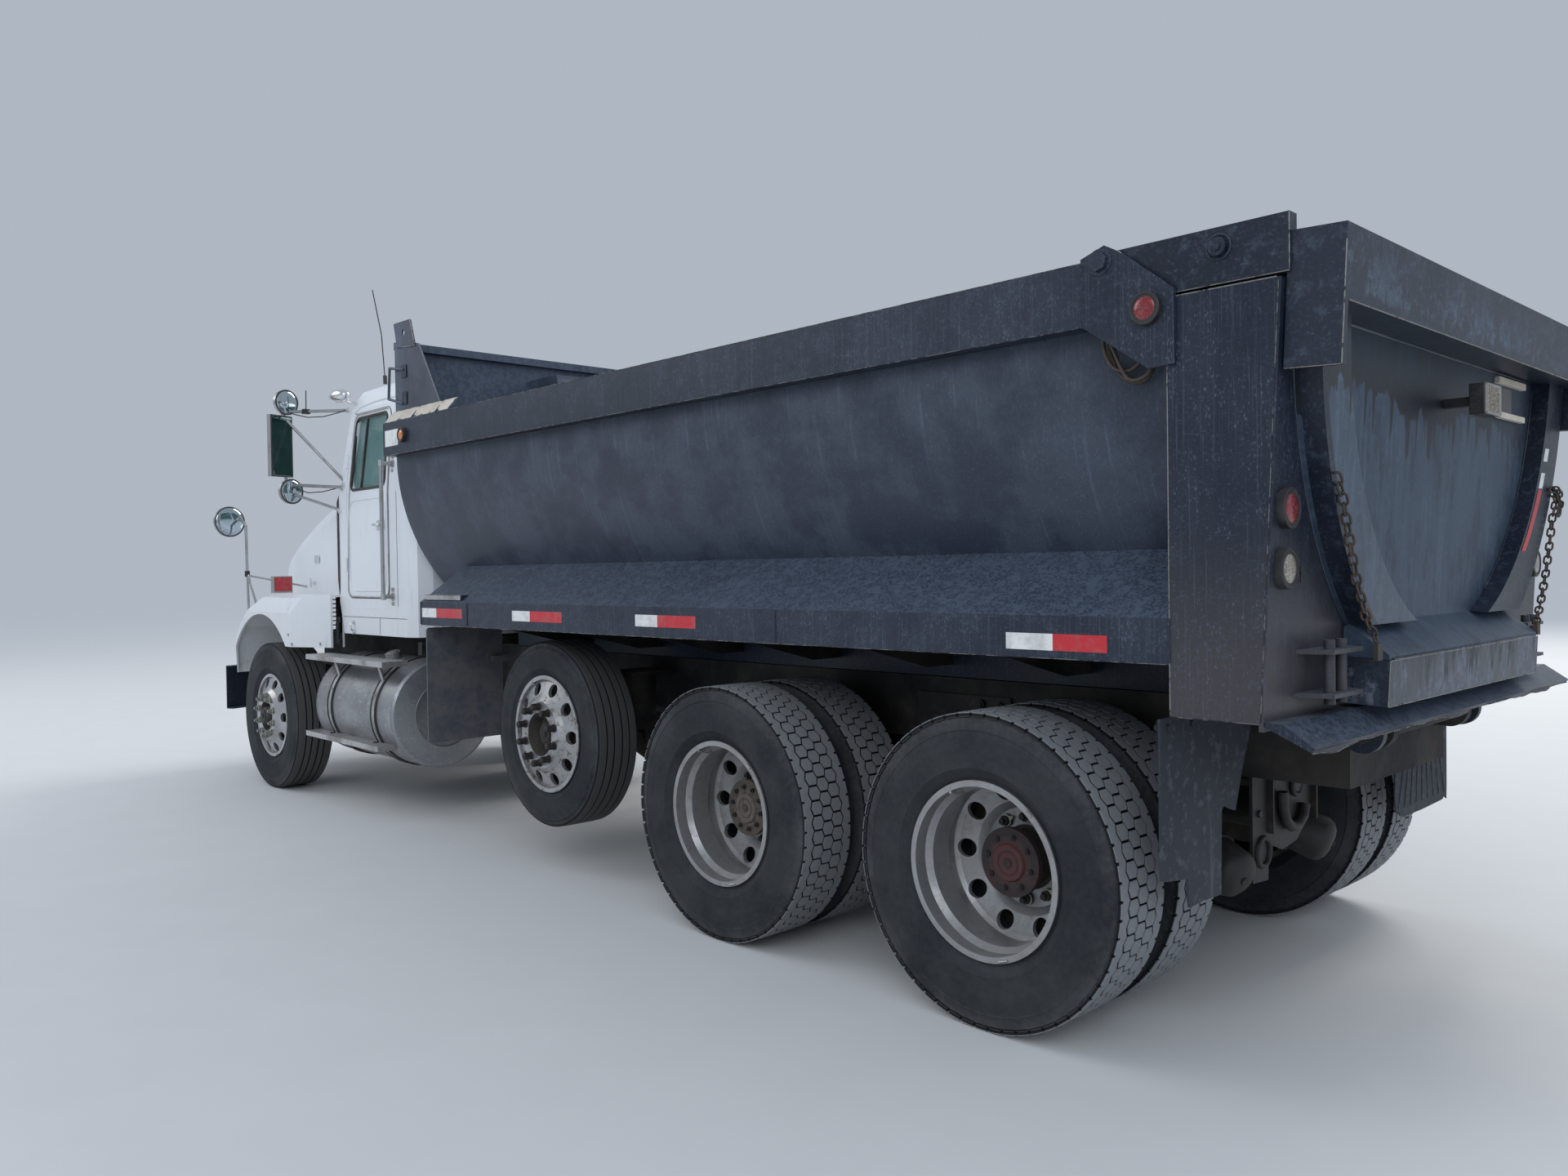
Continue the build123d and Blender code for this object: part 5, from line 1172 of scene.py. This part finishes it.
flap = flap_sheet(TORN_FLAP, 0.007, (0.70, 0.86, 1.02, 1.16))
flap.piece("torn_flap_left", "chassis", FLAP_RUBBER)
flap = flap_sheet(RIBBED_FLAP, 0.005, (-0.66, -0.86, -1.02, -1.16))
for n in range(9):
    low = (FLAP_X - 0.0052, -0.640 - 0.066 * n, 0.540)
    high = (FLAP_X - 0.0052, -0.908 + 0.022 * (4 - n), 1.040)
    flap.run((low, high), 0.0032, 2)
flap.piece("ribbed_flap_right", "chassis", FLAP_RUBBER)
guard = Shape()
for guard.out in (1, -1):
    guard.prism([(3.9165, y, z) for y, z in GUARD], (-0.011, 0, 0))
    guard.box((3.881, 0.433, 1.001, 0.0245, 0.366, 0.038))
    for y, z in ((0.76, 1.02), (1.00, 1.18), (1.16, 1.18), (0.80, 1.18)):
        guard.disc((3.9035, y, z), (-1, 0, 0), 0.010, 0.006, 6)
guards = guard.piece("splash_guards", "chassis", GUARD_BROWN)
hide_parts("mud_flaps")


# Brake cans behind the drive axles, tow plate and hook, saddle castings

CAN_R = 0.090
cans = Shape()
for axle in (0.0, FORWARD_X):
    for cans.out in (1, -1):
        back = cans.place((axle - 0.500, 0.375, 0.425))
        axis = cans.place((axle - 0.235, 0.305, 0.535)) - back
        length = axis.length
        axis = axis.normalized()
        profile = ((0.000, 0.30), (0.006, 0.62), (0.022, 0.88), (0.044, 1.00), (0.46 * length, 1.00),
                   (0.47 * length, 1.10), (0.55 * length, 1.10), (0.56 * length, 0.96),
                   (0.86 * length, 0.90), (length, 0.55))
        cans.bottle(back, axis, [(reach, CAN_R * share) for reach, share in profile], 32)
        cans.disc(back - axis * 0.006, -axis, CAN_R * 0.16, 0.012, 6)
cans.piece("brake_cans", "chassis", CASTING, 40)

TOW_PLATE = (
    (-0.205, 0.855), (0.300, 0.855), (0.300, 0.400), (0.180, 0.392), (0.172, 0.520), (0.060, 0.480),
    (-0.060, 0.496), (-0.150, 0.560), (-0.185, 0.640),
)
HOOK = (
    (0.105, 0.700), (0.100, 0.640), (0.075, 0.590), (0.030, 0.562), (-0.020, 0.560), (-0.070, 0.590),
    (-0.085, 0.630),
)
tow = Shape().prism([(-0.486, y, z) for y, z in TOW_PLATE], (-0.012, 0, 0))
tow.box((-0.486, -0.192, 0.560, -0.034, 0.010, 0.290), (-0.486, 0.176, 0.560, -0.034, 0.008, 0.290))
tow.ring((-0.506, -0.040, 0.705), (1, 0, 0), 0.036, 0.009, 28)
tow.disc((-0.512, -0.040, 0.705), (-1, 0, 0), 0.026, 0.020)
tow.tube([(-0.518, y, z) for y, z in HOOK], 0.019, 12)
tow.ring((-0.502, 0.225, 0.500), (1, 0, 0), 0.050, 0.010, 28)
for y, z in ((-0.150, 0.810), (0.020, 0.810), (0.150, 0.810), (0.250, 0.810), (0.255, 0.640)):
    tow.disc((-0.508, y, z), (-1, 0, 0), 0.013, 0.012, 6)
tow.piece("tow_plate_and_hook", "chassis", CASTING, 40)

ARCH = (
    (0.610, 0.690), (0.612, 0.790), (0.640, 0.850), (0.690, 0.872), (0.740, 0.850), (0.764, 0.790),
    (0.766, 0.690),
)
SADDLE_NUTS = ((0.560, 0.965, 0.022), (0.470, 0.962, 0.022), (0.500, 0.880, 0.026), (0.560, 0.900, 0.026))
saddle = Shape()
for saddle.out in (1, -1):
    saddle.tube([(x, 0.565, z) for x, z in ARCH], 0.020, 12)
    for x, z, radius in SADDLE_NUTS:
        saddle.disc((x, 0.462, z), (0, 1, 0), radius, 0.026, 6)
        saddle.disc((x, 0.470, z), (0, 1, 0), radius * 0.55, 0.010, 16)
    saddle.box((0.420, 0.436, 0.815, 0.480, 0.010, 0.185))
saddle.piece("saddle_castings", "chassis", CASTING, 40)


# Wheel nuts, hub bolts and their pointers

STUD_CIRCLE = 0.1429
STUDS = 10
DISC_SET = 0.154
RECESS_SET = 0.088
HUB_BOLT_CIRCLE = 0.088
HUB_BOLT_FACE = 1.041
WHEEL_TRIM = (
    # axle, rim middle y, disc face y, nut depth, nut radius, cap face y, hub bolts, hub finish
    ("steer", STEER_WHEEL_Y, STEER_WHEEL_Y + DISC_SET, 0.026, 0.0185, STEER_WHEEL_Y + 0.175, 0, NUT_BLACK),
    ("pusher", PUSHER_WHEEL_Y, PUSHER_WHEEL_Y + DISC_SET, 0.045, 0.0180, PUSHER_WHEEL_Y + 0.120, 0,
     NUT_BLACK),
    ("forward", OUTER_DUAL_Y, 0.9325, 0.028, 0.0185, 1.052, 10, HUB_BROWN),
    ("rear", OUTER_DUAL_Y, 0.9325, 0.028, 0.0185, 1.052, 8, HUB_RED),
)
VALVE_TURN = 1.1
for words, rim_y, face, depth, nut_r, cap, bolts, hub_finish in WHEEL_TRIM:
    x, z, _, _ = AXLES[words]
    for side, out in SIDES:
        body = f"wheels_{words}_{side}" if bolts else f"wheel_{words}_{side}"
        axis = Vector((0, out, 0))
        nuts = Shape()
        pointers = Shape()
        for stud in range(STUDS):
            turn = 2 * math.pi * (stud + 0.5) / STUDS
            seat = wheel_place(x, z, turn, STUD_CIRCLE, out * face)
            nuts.disc(seat + axis * 0.006, axis, nut_r * 1.18, 0.008)
            nuts.disc(seat + axis * depth, axis, nut_r, depth, 6, stud * 0.7)
            if words == "pusher":
                nuts.dome(seat + axis * (depth - 0.002), axis, nut_r * 0.85, 0.009, 3, 12)
                continue
            nuts.disc(seat + axis * (depth + 0.014), axis, 0.0105, 0.020, 16)
            pointers.ring(seat + axis * 0.012, axis, nut_r + 0.001, 0.0032, 18, 6)
            tip = turn + (1 if stud % 2 else -1) * 0.26
            root = turn + (tip - turn) * 0.35
            corners = ((tip, STUD_CIRCLE), (root, STUD_CIRCLE + 0.013), (root, STUD_CIRCLE - 0.013))
            corners = [wheel_place(x, z, a, r, out * (face + 0.010)) for a, r in corners]
            pointers.prism(corners, axis * 0.004)
        for bolt in range(bolts):
            turn = 2 * math.pi * (bolt + 0.25) / bolts
            seat = wheel_place(x, z, turn, HUB_BOLT_CIRCLE, out * HUB_BOLT_FACE)
            nuts.disc(seat + axis * 0.010, axis, 0.0105, 0.014, 6)
            nuts.disc(seat + axis * 0.0165, axis, 0.0055, 0.008, 10)
        nuts.piece(f"nuts_{body}", body, NUT_STEEL if words == "steer" else NUT_BLACK, edge=0.0012)
        if words != "pusher":
            pointers.piece(f"nut_pointers_{body}", body, POINTER_GREEN, 40)
        hub = Shape()
        middle = at(x, out * cap, z)
        if bolts:
            hub.disc(at(x, out * HUB_BOLT_FACE, z), axis, 0.118, 0.024, 48)
            hub.ring(middle - axis * 0.0010, axis, 0.040, 0.0035, 28)
            hub.disc(middle + axis * 0.005, axis, 0.016, 0.006, 20)
            stem = ((0.262, 0.040), (0.262, 0.065), (0.268, 0.088), (0.274, 0.108))
        else:
            recess = out * (rim_y + RECESS_SET)
            hub.disc(middle + axis * 0.006, axis, 0.050, 0.010, 6 if words == "pusher" else 36)
            hub.disc(middle + axis * 0.012, axis, 0.018, 0.008, 6)
            hub.ring(at(x, recess, z), axis, 0.104, 0.004, 40)
            for bolt in range(6):
                seat = wheel_place(x, z, math.pi * bolt / 3, 0.085, recess)
                hub.disc(seat + axis * 0.008, axis, 0.008, 0.010, 6)
            stem = ((0.270, 0.092), (0.271, 0.104), (0.273, 0.112))
        hub.piece(f"hub_face_{body}", body, hub_finish, 40, 0.0012)
        valve = Shape().tube([wheel_place(x, z, VALVE_TURN, r, out * (rim_y + d)) for r, d in stem], 0.004)
        valve.disc(wheel_place(x, z, VALVE_TURN, 0.2755, out * (rim_y + 0.1140)), axis, 0.0055, 0.012, 10)
        for turn, reach in ((2.3, 0.045), (4.4, 0.060)):
            turns = [turn + reach * (n / 4 - 1) for n in range(9)]
            weight = [wheel_place(x, z, a, 0.2915, out * (rim_y + 0.1190)) for a in turns]
            valve.tube(weight, 0.0045, 6)
        valve.piece(f"valve_and_weights_{body}", body, STEP_METAL, 60)


# Cab: door edge trim, window rubber, handle, rivets, latches, rain strip

CAB_FRONT_VIEW = ((1.135, 1.000), (2.060, 1.000), (2.640, 0.958), (2.765, 0.905), (2.822, 0.770))
CAB_Y = 1.0005
DOOR_MID = 2.10
DOOR_UPPER = 0.54


def along(table, x):
    """Value of a table of (x, value) at x."""
    for (low, a), (high, b) in zip(table, table[1:]):
        if x <= high:
            return a + (b - a) * (x - low) / (high - low)
    return table[-1][1]


def cab_y(z):
    """Half width of the cab's side at a height."""
    return along(CAB_FRONT_VIEW, max(z, CAB_FRONT_VIEW[0][0]))


def cab_line(places, gap):
    """Places of (x, z) put on the cab's side, a gap off it."""
    return [(x, cab_y(z) + gap, z) for x, z in places]


def rounded_outline(low_x, high_x, low_z, high_z, radius, slant=0.0, gap=0.08):
    """Rounded rectangle in side view, points a gap apart; the upper front corner slants back."""
    points = []
    for cx, cz, start in (
        (high_x - radius, high_z - radius, 0),
        (low_x + radius, high_z - radius, 90),
        (low_x + radius, low_z + radius, 180),
        (high_x - radius, low_z + radius, 270),
    ):
        for angle in [math.radians(start + 15 * n) for n in range(7)]:
            x = cx + radius * math.cos(angle)
            z = cz + radius * math.sin(angle)
            share = max(z - DOOR_MID, 0.0) / DOOR_UPPER * (x - low_x) / (high_x - low_x)
            points.append((x - slant * share, z))
    places = []
    for (ax, az), (bx, bz) in zip(points, points[1:] + points[:1]):
        count = max(1, round(math.hypot(bx - ax, bz - az) / gap))
        places += [(ax + (bx - ax) * n / count, az + (bz - az) * n / count) for n in range(count)]
    return places


def every(gap, low, high):
    """Places from low up to high, a gap apart."""
    while low < high:
        yield low
        low += gap


HANDLE = ((4.880, 1.006), (4.884, 1.034), (4.972, 1.036), (4.978, 1.006))
RIVET_ROWS = ((1.310, 0.052, 4.62, 5.53), (1.268, 0.105, 4.62, 5.53), (1.175, 0.16, 4.62, 5.50))
COWL = ((0.928, 1.402), (0.992, 1.405), (0.9985, 1.50), (0.9985, 1.80), (0.998, 2.03), (0.986, 2.070),
        (0.948, 2.105))
STRAP_HOOK = ((1.006, 1.212), (1.022, 1.205), (1.026, 1.180), (1.018, 1.160), (1.004, 1.158))
DRIP_RAIL = ((4.60, 2.660), (4.80, 2.672), (5.10, 2.672), (5.30, 2.655), (5.38, 2.622))
for side, out in SIDES:
    door = f"door_{side}"
    trim = Shape(out)
    trim.tube(cab_line(rounded_outline(4.823, 5.447, 1.385, 2.604, 0.058, 0.086), 0.001), 0.0060, 8, True)
    trim.piece(f"door_edge_trim_{side}", door, STEP_METAL, 60)
    rubber = Shape(out)
    rubber.tube(cab_line(rounded_outline(4.872, 5.398, 2.100, 2.580, 0.050, 0.062), -0.002), 0.0105, 8, True)
    rubber.tube(cab_line([(5.255 - 0.014 * n, 2.112 + 0.1135 * n) for n in range(5)], -0.012), 0.009)
    rubber.piece(f"door_window_rubber_{side}", door, BLACK_PLASTIC, 60)
    handle = Shape(out).box((4.872, CAB_Y, 1.820, 0.110, 0.006, 0.062))
    handle.tube([(x, y, 1.852) for x, y in HANDLE], 0.009)
    handle.piece(f"door_handle_{side}", door, CHROME, 40, 0.002)
    panel = rounded_outline(4.862, 5.408, 1.425, 2.030, 0.085)
    pressing = Shape(out).tube([(x, CAB_Y, z) for x, z in panel], 0.0045, 8, True)
    pressing.piece(f"door_pressing_{side}", door, CAB_WHITE, 60)
    hinges = Shape(out)
    for z in (1.60, 2.30):
        hinges.tube(cab_line([(5.4655, z + d) for d in (-0.045, 0.0, 0.045)], 0.004), 0.0095, 10)
    hinges.piece(f"door_hinges_{side}", "chassis", CAB_WHITE, 60)

    rivets = Shape(out)
    for z, gap, low, high in RIVET_ROWS:
        for x in every(gap, low, high):
            rivets.dome((x, 0.9995, z), (0, 1, 0), 0.0045, 0.0028, 2, 8)
    for z in every(0.055, 1.42, 2.06):
        for place in cab_line([(4.640, z), (5.520, z)], -0.0005):
            rivets.dome(place, (0, 1, 0), 0.0042, 0.0026, 2, 8)
    rivets.piece(f"cab_rivets_{side}", "chassis", CAB_WHITE, 60)
    seams = Shape(out).box(
        (4.580, 1.0002, 1.2485, 0.965, 0.0012, 0.0030),
        (4.968, 1.0002, 1.140, 0.0030, 0.0012, 0.108),
        (4.700, 1.0002, 1.330, 0.0030, 0.0010, 0.725),
    )
    seams.piece(f"cab_seams_{side}", "chassis", BLACK_PLASTIC)
    seal = Shape(out).tube([(5.5965, y, z) for y, z in COWL], 0.0125)
    seal.piece(f"cowl_seal_{side}", "chassis", BLACK_PLASTIC, 60)
    latch = Shape(out).box(
        (5.585, CAB_Y, 1.205, 0.050, 0.012, 0.040),
        (5.592, 1.0100, 1.080, 0.036, 0.014, 0.130),
        (5.586, CAB_Y, 1.062, 0.048, 0.020, 0.030),
    )
    latch.piece(f"hood_latch_{side}", "chassis", BLACK_PLASTIC, 40, 0.005)
    hooks = Shape(out).disc((5.372, 1.0040, 1.212), (0, 1, 0), 0.018, 0.0045, 20)
    hooks.tube([(5.372, y, z) for y, z in STRAP_HOOK], 0.006)
    hooks.ring((5.372, 1.0100, 1.150), LEFTWARD, 0.014, 0.004, 16, 6)
    hooks.piece(f"strap_hook_{side}", "chassis", CHROME, 60)
    grab = Shape(out)
    for z in (2.235, 1.390):
        grab.disc((4.770, cab_y(z) + 0.007, z), (0, 1, 0), 0.026, 0.008)
        grab.tube([(4.770, 1.065, z + d) for d in (-0.020, 0.020)], 0.0165, 14)
        for d in (-0.057, 0.033):
            grab.box((4.752, cab_y(z) + 0.001, z + d, 0.036, 0.003, 0.024))
    grab.piece(f"grab_bar_ends_{side}", "chassis", STEP_METAL, 40, 0.0015)
    gutter = Shape(out).tube(cab_line(DRIP_RAIL, 0.002), 0.008)
    gutter.piece(f"door_drip_rail_{side}", "chassis", CAB_WHITE, 60)

# Teardrop horn on its bracket by the left door's upper corner
HORN = ((0.000, 0.010), (0.012, 0.028), (0.045, 0.040), (0.100, 0.047), (0.150, 0.045), (0.185, 0.034),
        (0.205, 0.014))
horn = Shape().bottle(at(5.385, 1.010, 2.742), Vector((1.0, 0.10, 0.02)).normalized(), HORN, 24)
horn.tube([(5.400, 0.945, 2.690), (5.415, 0.985, 2.700), (5.435, 1.010, 2.715)], 0.009, 10)
horn.piece("corner_horn_left", "chassis", CHROME, 50)


# Hood: blank badge, side latch and fender bolts

HOOD_PLAN = ((5.604, 0.985), (6.300, 0.868), (7.000, 0.745), (7.330, 0.700))
FENDER_PLAN = ((5.600, 1.062), (5.960, 1.206), (7.060, 1.212), (7.220, 1.150))


def hood_side(x, z, gap):
    """Place off the hood's flat side."""
    return x, along(HOOD_PLAN, x) + gap, z


for side, out in SIDES:
    badge = Shape(out)
    corner = badge.place(hood_side(6.24, 1.622, 0.002))
    rearward = badge.place(hood_side(6.40, 1.622, 0.002)) - corner
    badge.plate(corner, rearward, Vector((0, 0, 0.058)), (0, 0.006, 0))
    badge.piece(f"badge_plate_{side}", "hood", CHROME, 40, 0.003)
    latch = Shape(out).disc(hood_side(6.42, 1.478, 0.012), (0, 1, 0), 0.014, 0.012, 20)
    latch.tube([hood_side(6.42, z, 0.030) for z in (1.445, 1.478, 1.511)], 0.006, 10)
    latch.tube([hood_side(6.42, 1.478, gap) for gap in (0.006, 0.018, 0.030)], 0.005, 10)
    latch.piece(f"hood_side_latch_{side}", "hood", CHROME, 60)
    bolts = Shape(out)
    for x, z in ((5.70, 1.060), (5.95, 1.055), (6.00, 1.120)):
        bolts.disc((x, along(FENDER_PLAN, x) + 0.005, z), (0, 1, 0), 0.011, 0.006, 6)
    bolts.piece(f"fender_bolts_{side}", "hood", STEP_METAL, edge=0.001)


# Mirror glass, rims, clamps and wires

CLAMPS = ((5.505, 2.655), (5.510, 2.145), (5.520, 2.128), (5.565, 1.975))
WIRES = (
    ((5.80, 1.215, 2.640), (5.72, 1.150, 2.615), (5.64, 1.070, 2.618), (5.56, 1.005, 2.640),
     (5.51, 0.970, 2.655)),
    ((5.82, 1.215, 2.140), (5.74, 1.150, 2.100), (5.66, 1.080, 2.105), (5.58, 1.020, 2.125)),
)
for side, out in SIDES:
    across = Vector((-0.34, out * 0.94, 0)).normalized()
    rear = Vector((-0.94, -out * 0.34, 0)).normalized()
    upwards = Vector((0, 0, 1))
    middle = at(5.850, out * 1.290, 2.420) + rear * 0.0172
    flat = Shape()
    low = middle - across * 0.079 - upwards * 0.199
    flat.plate(low, across * 0.158, upwards * 0.398, rear * 0.0022)
    # The flat mirror carries a painted dark reflection.
    flat.piece(f"side_mirror_flat_{side}", "chassis", MIRROR_DARK)
    glass = Shape(out)
    rims = Shape(out)
    corners = ((-0.084, -0.205), (0.084, -0.205), (0.084, 0.205), (-0.084, 0.205))
    border = [middle + across * a + upwards * b for a, b in corners]
    for start, end in zip(border, border[1:] + border[:1]):
        rims.run((start, end), 0.0052, 2, 8)
    facing = Vector((-0.976, -out * 0.217, 0)).normalized()
    for z, y in ((2.722, 1.244), (2.112, 1.222)):
        face = at(5.835, out * y, z) + facing * 0.0005
        glass.dome(face, facing, 0.079, 0.013, 5, 40)
        rims.ring(face, facing, 0.0815, 0.0056, 40)
    glass.piece(f"side_mirror_glass_{side}", "chassis", MIRROR_GLASS, 45)
    rims.piece(f"side_mirror_rims_{side}", "chassis", BLACK_PLASTIC, 60)
    clamps = Shape(out)
    for z in (2.655, 2.145):
        clamps.tube([(5.880, 1.252, z + d) for d in (-0.022, 0.022)], 0.0165, 12)
    for x, z in CLAMPS:
        clamps.disc((x, cab_y(z) + 0.010, z), (0, 1, 0), 0.021, 0.010, 20)
        clamps.disc((x, cab_y(z) + 0.018, z), (0, 1, 0), 0.009, 0.010, 6)
    clamps.piece(f"mirror_clamps_{side}", "chassis", CHROME, 40, 0.001)
    wires = Shape(out)
    for wire in WIRES:
        wires.tube(wire, 0.0035, 6)
    wires.piece(f"mirror_wires_{side}", "chassis", BLACK_PLASTIC, 60)
    facing = Vector((-0.993, -out * 0.119, 0)).normalized()
    face = at(7.2848, out * 1.162, 1.962) + facing * 0.0005
    glass = Shape().dome(face, facing, 0.111, 0.016, 5, 48)
    glass.piece(f"fender_mirror_glass_{side}", "hood", MIRROR_GLASS, 45)
    rim = Shape(out).ring(face, facing, 0.1135, 0.0052, 48)
    rim.disc((7.150, 1.085, 1.575), (0, 0, 1), 0.019, 0.045, 16)
    rim.piece(f"fender_mirror_rim_{side}", "hood", BLACK_PLASTIC, 60)


# Tanks and steps

TANK_Y = 0.822
TANK_Z = 0.655
TANK_R = 0.340
TANK_WELDS = (
    # x, radius, bar
    (4.492, TANK_R + 0.0005, 0.0034),
    (5.628, TANK_R + 0.0005, 0.0034),
    (4.434, 0.205, 0.0028),
)
STRAP_X = (4.730, 5.400)
STRAP_BOLT = (0.3495 * math.cos(0.35), 0.3495 * math.sin(0.35))
TREAD_BAR = 0.0085 * math.sqrt(0.5)
STEPS = (
    # rear x, front x, inner edge y, top z
    (4.500, 5.650, 1.066, 0.9985),
    (4.580, 5.670, 1.091, 0.4785),
)
for side, out in SIDES:
    rubber = Shape(out)
    welds = Shape(out)
    for x in STRAP_X:
        for edge in (-0.0295, 0.0295):
            rubber.ring((x + edge, TANK_Y, TANK_Z), (1, 0, 0), TANK_R + 0.0045, 0.0078, 64)
        for step in (-0.014, 0.014):
            y, z = STRAP_BOLT
            welds.disc((x + step, TANK_Y + y, TANK_Z + z), (0, y, z), 0.008, 0.006, 6)
    rubber.piece(f"tank_strap_rubber_{side}", "chassis", BLACK_PLASTIC, 60)
    for x, radius, bar in TANK_WELDS:
        welds.ring((x, TANK_Y, TANK_Z), (1, 0, 0), radius, bar, 64)
    welds.piece(f"tank_welds_{side}", "chassis", TANK_METAL, 60)
    axis = Vector((0, out * 0.294, 0.956)).normalized()
    middle = at(4.959, out * 0.925, 1.020)
    cap = Shape().disc(middle + axis * 0.010, axis, 0.040, 0.012, 32)
    for notch in round_points(middle + axis * 0.002, axis, 0.047, 16):
        cap.tube([notch - axis * 0.012, notch + axis * 0.004], 0.003, 6)
    cap.piece(f"fuel_cap_{side}", "chassis", STEP_METAL, 40, 0.002)
    tread = Shape()
    for low, high, inner, z in STEPS:
        count = int((high - low) / 0.030)
        for step in range(count):
            x = low + 0.015 + step * (high - low) / count
            for row in range(4):
                y = inner + (1.198 - inner) * (row + 0.5) / 4
                centre = at(x + (0.007 if row % 2 else -0.007), out * y, z)
                slant = TREAD_BAR if (row + step) % 2 else -TREAD_BAR
                bar = Vector((TREAD_BAR, slant, 0))
                tread.tube([centre - bar, centre, centre + bar], 0.0017, 5)
    tread.piece(f"step_tread_{side}", "chassis", STEP_METAL, 60)
    bolts = Shape(out)
    for x in STRAP_X:
        for y, z in ((1.130, 0.964), (1.150, 0.480)):
            bolts.disc((x, y, z), (0, 0, -1), 0.017, 0.006, 6)
    bolts.piece(f"step_bolts_{side}", "chassis", NUT_BLACK)


# Camera, light and floor

camera = bpy.data.objects.new("camera", bpy.data.cameras.new("camera"))
bpy.context.scene.collection.objects.link(camera)
camera.data.sensor_width = SENSOR_WIDTH
camera.data.lens = SENSOR_WIDTH * FOCAL_PIXELS / IMAGE_WIDTH
flat = math.cos(CAMERA_PITCH)
ahead = Vector((flat * math.cos(CAMERA_YAW), -flat * math.sin(CAMERA_YAW), math.sin(CAMERA_PITCH)))
level = Vector((-math.sin(CAMERA_YAW), -math.cos(CAMERA_YAW), 0))
above = level.cross(ahead)
right = level * math.cos(CAMERA_ROLL) + above * math.sin(CAMERA_ROLL)
above = above * math.cos(CAMERA_ROLL) - level * math.sin(CAMERA_ROLL)
turn = Matrix((right, above, -ahead)).transposed()
camera.matrix_world = Matrix.Translation(at(*CAMERA_PLACE)) @ turn.to_4x4()
bpy.context.scene.camera = camera
bpy.context.scene.view_settings.view_transform = "Standard"

paving = Finish("floor_pale")
grain = paving.noise(3.0, 6.0)
paving.set(Base_Color=paving.blend(grain, (0.57, 0.57, 0.565), (0.61, 0.61, 0.605)), Roughness=0.85)
ground = bmesh.new()
bmesh.ops.create_grid(ground, x_segments=1, y_segments=1, size=60.0)
floor_data = bpy.data.meshes.new("floor")
ground.to_mesh(floor_data)
ground.free()
floor_data.materials.append(paving.material)
floor = bpy.data.objects.new("floor", floor_data)
bpy.context.scene.collection.objects.link(floor)

# The backdrop is what the camera and mirrors see; the sky only lights
world = bpy.data.worlds.new("sky")
bpy.context.scene.world = world
world.use_nodes = True
sky = world.node_tree
sky_light = sky.nodes["Background"]
backdrop = sky.nodes.new("ShaderNodeBackground")
for source, colour in ((sky_light, (0.73, 0.81, 0.93, 1.0)), (backdrop, (0.43, 0.48, 0.54, 1.0))):
    source.inputs["Color"].default_value = colour
    source.inputs["Strength"].default_value = 1.0
seen = sky.nodes.new("ShaderNodeLightPath")
either = seen.outputs["Is Camera Ray"]
for ray in ("Is Glossy Ray", "Is Transmission Ray"):
    larger = sky.nodes.new("ShaderNodeMath")
    larger.operation = "MAXIMUM"
    sky.links.new(either, larger.inputs[0])
    sky.links.new(seen.outputs[ray], larger.inputs[1])
    either = larger.outputs[0]
choice = sky.nodes.new("ShaderNodeMixShader")
for socket, source in enumerate((either, sky_light.outputs[0], backdrop.outputs[0])):
    sky.links.new(source, choice.inputs[socket])
sky.links.new(choice.outputs[0], sky.nodes["World Output"].inputs["Surface"])


def area_light(name, place, target, size, power, colour):
    data = bpy.data.lights.new(name, "AREA")
    data.shape = "RECTANGLE"
    data.size, data.size_y = size
    data.energy = power
    data.color = colour
    made = bpy.data.objects.new(name, data)
    made.location = at(*place)
    made.rotation_mode = "QUATERNION"
    made.rotation_quaternion = (at(*target) - at(*place)).to_track_quat("-Z", "Y")
    bpy.context.scene.collection.objects.link(made)


area_light("sun_side", (2.5, -18.0, 15.5), (2.5, 0.0, 1.5), (10.0, 10.0), 2500.0, (1.0, 0.97, 0.92))
area_light("camera_side", (-9.0, 15.0, 11.0), (2.0, 0.0, 1.4), (14.0, 9.0), 950.0, (0.92, 0.96, 1.0))
area_light("front_side", (16.0, 10.0, 10.0), (5.5, 0.0, 1.5), (9.0, 7.0), 450.0, (1.0, 0.98, 0.95))
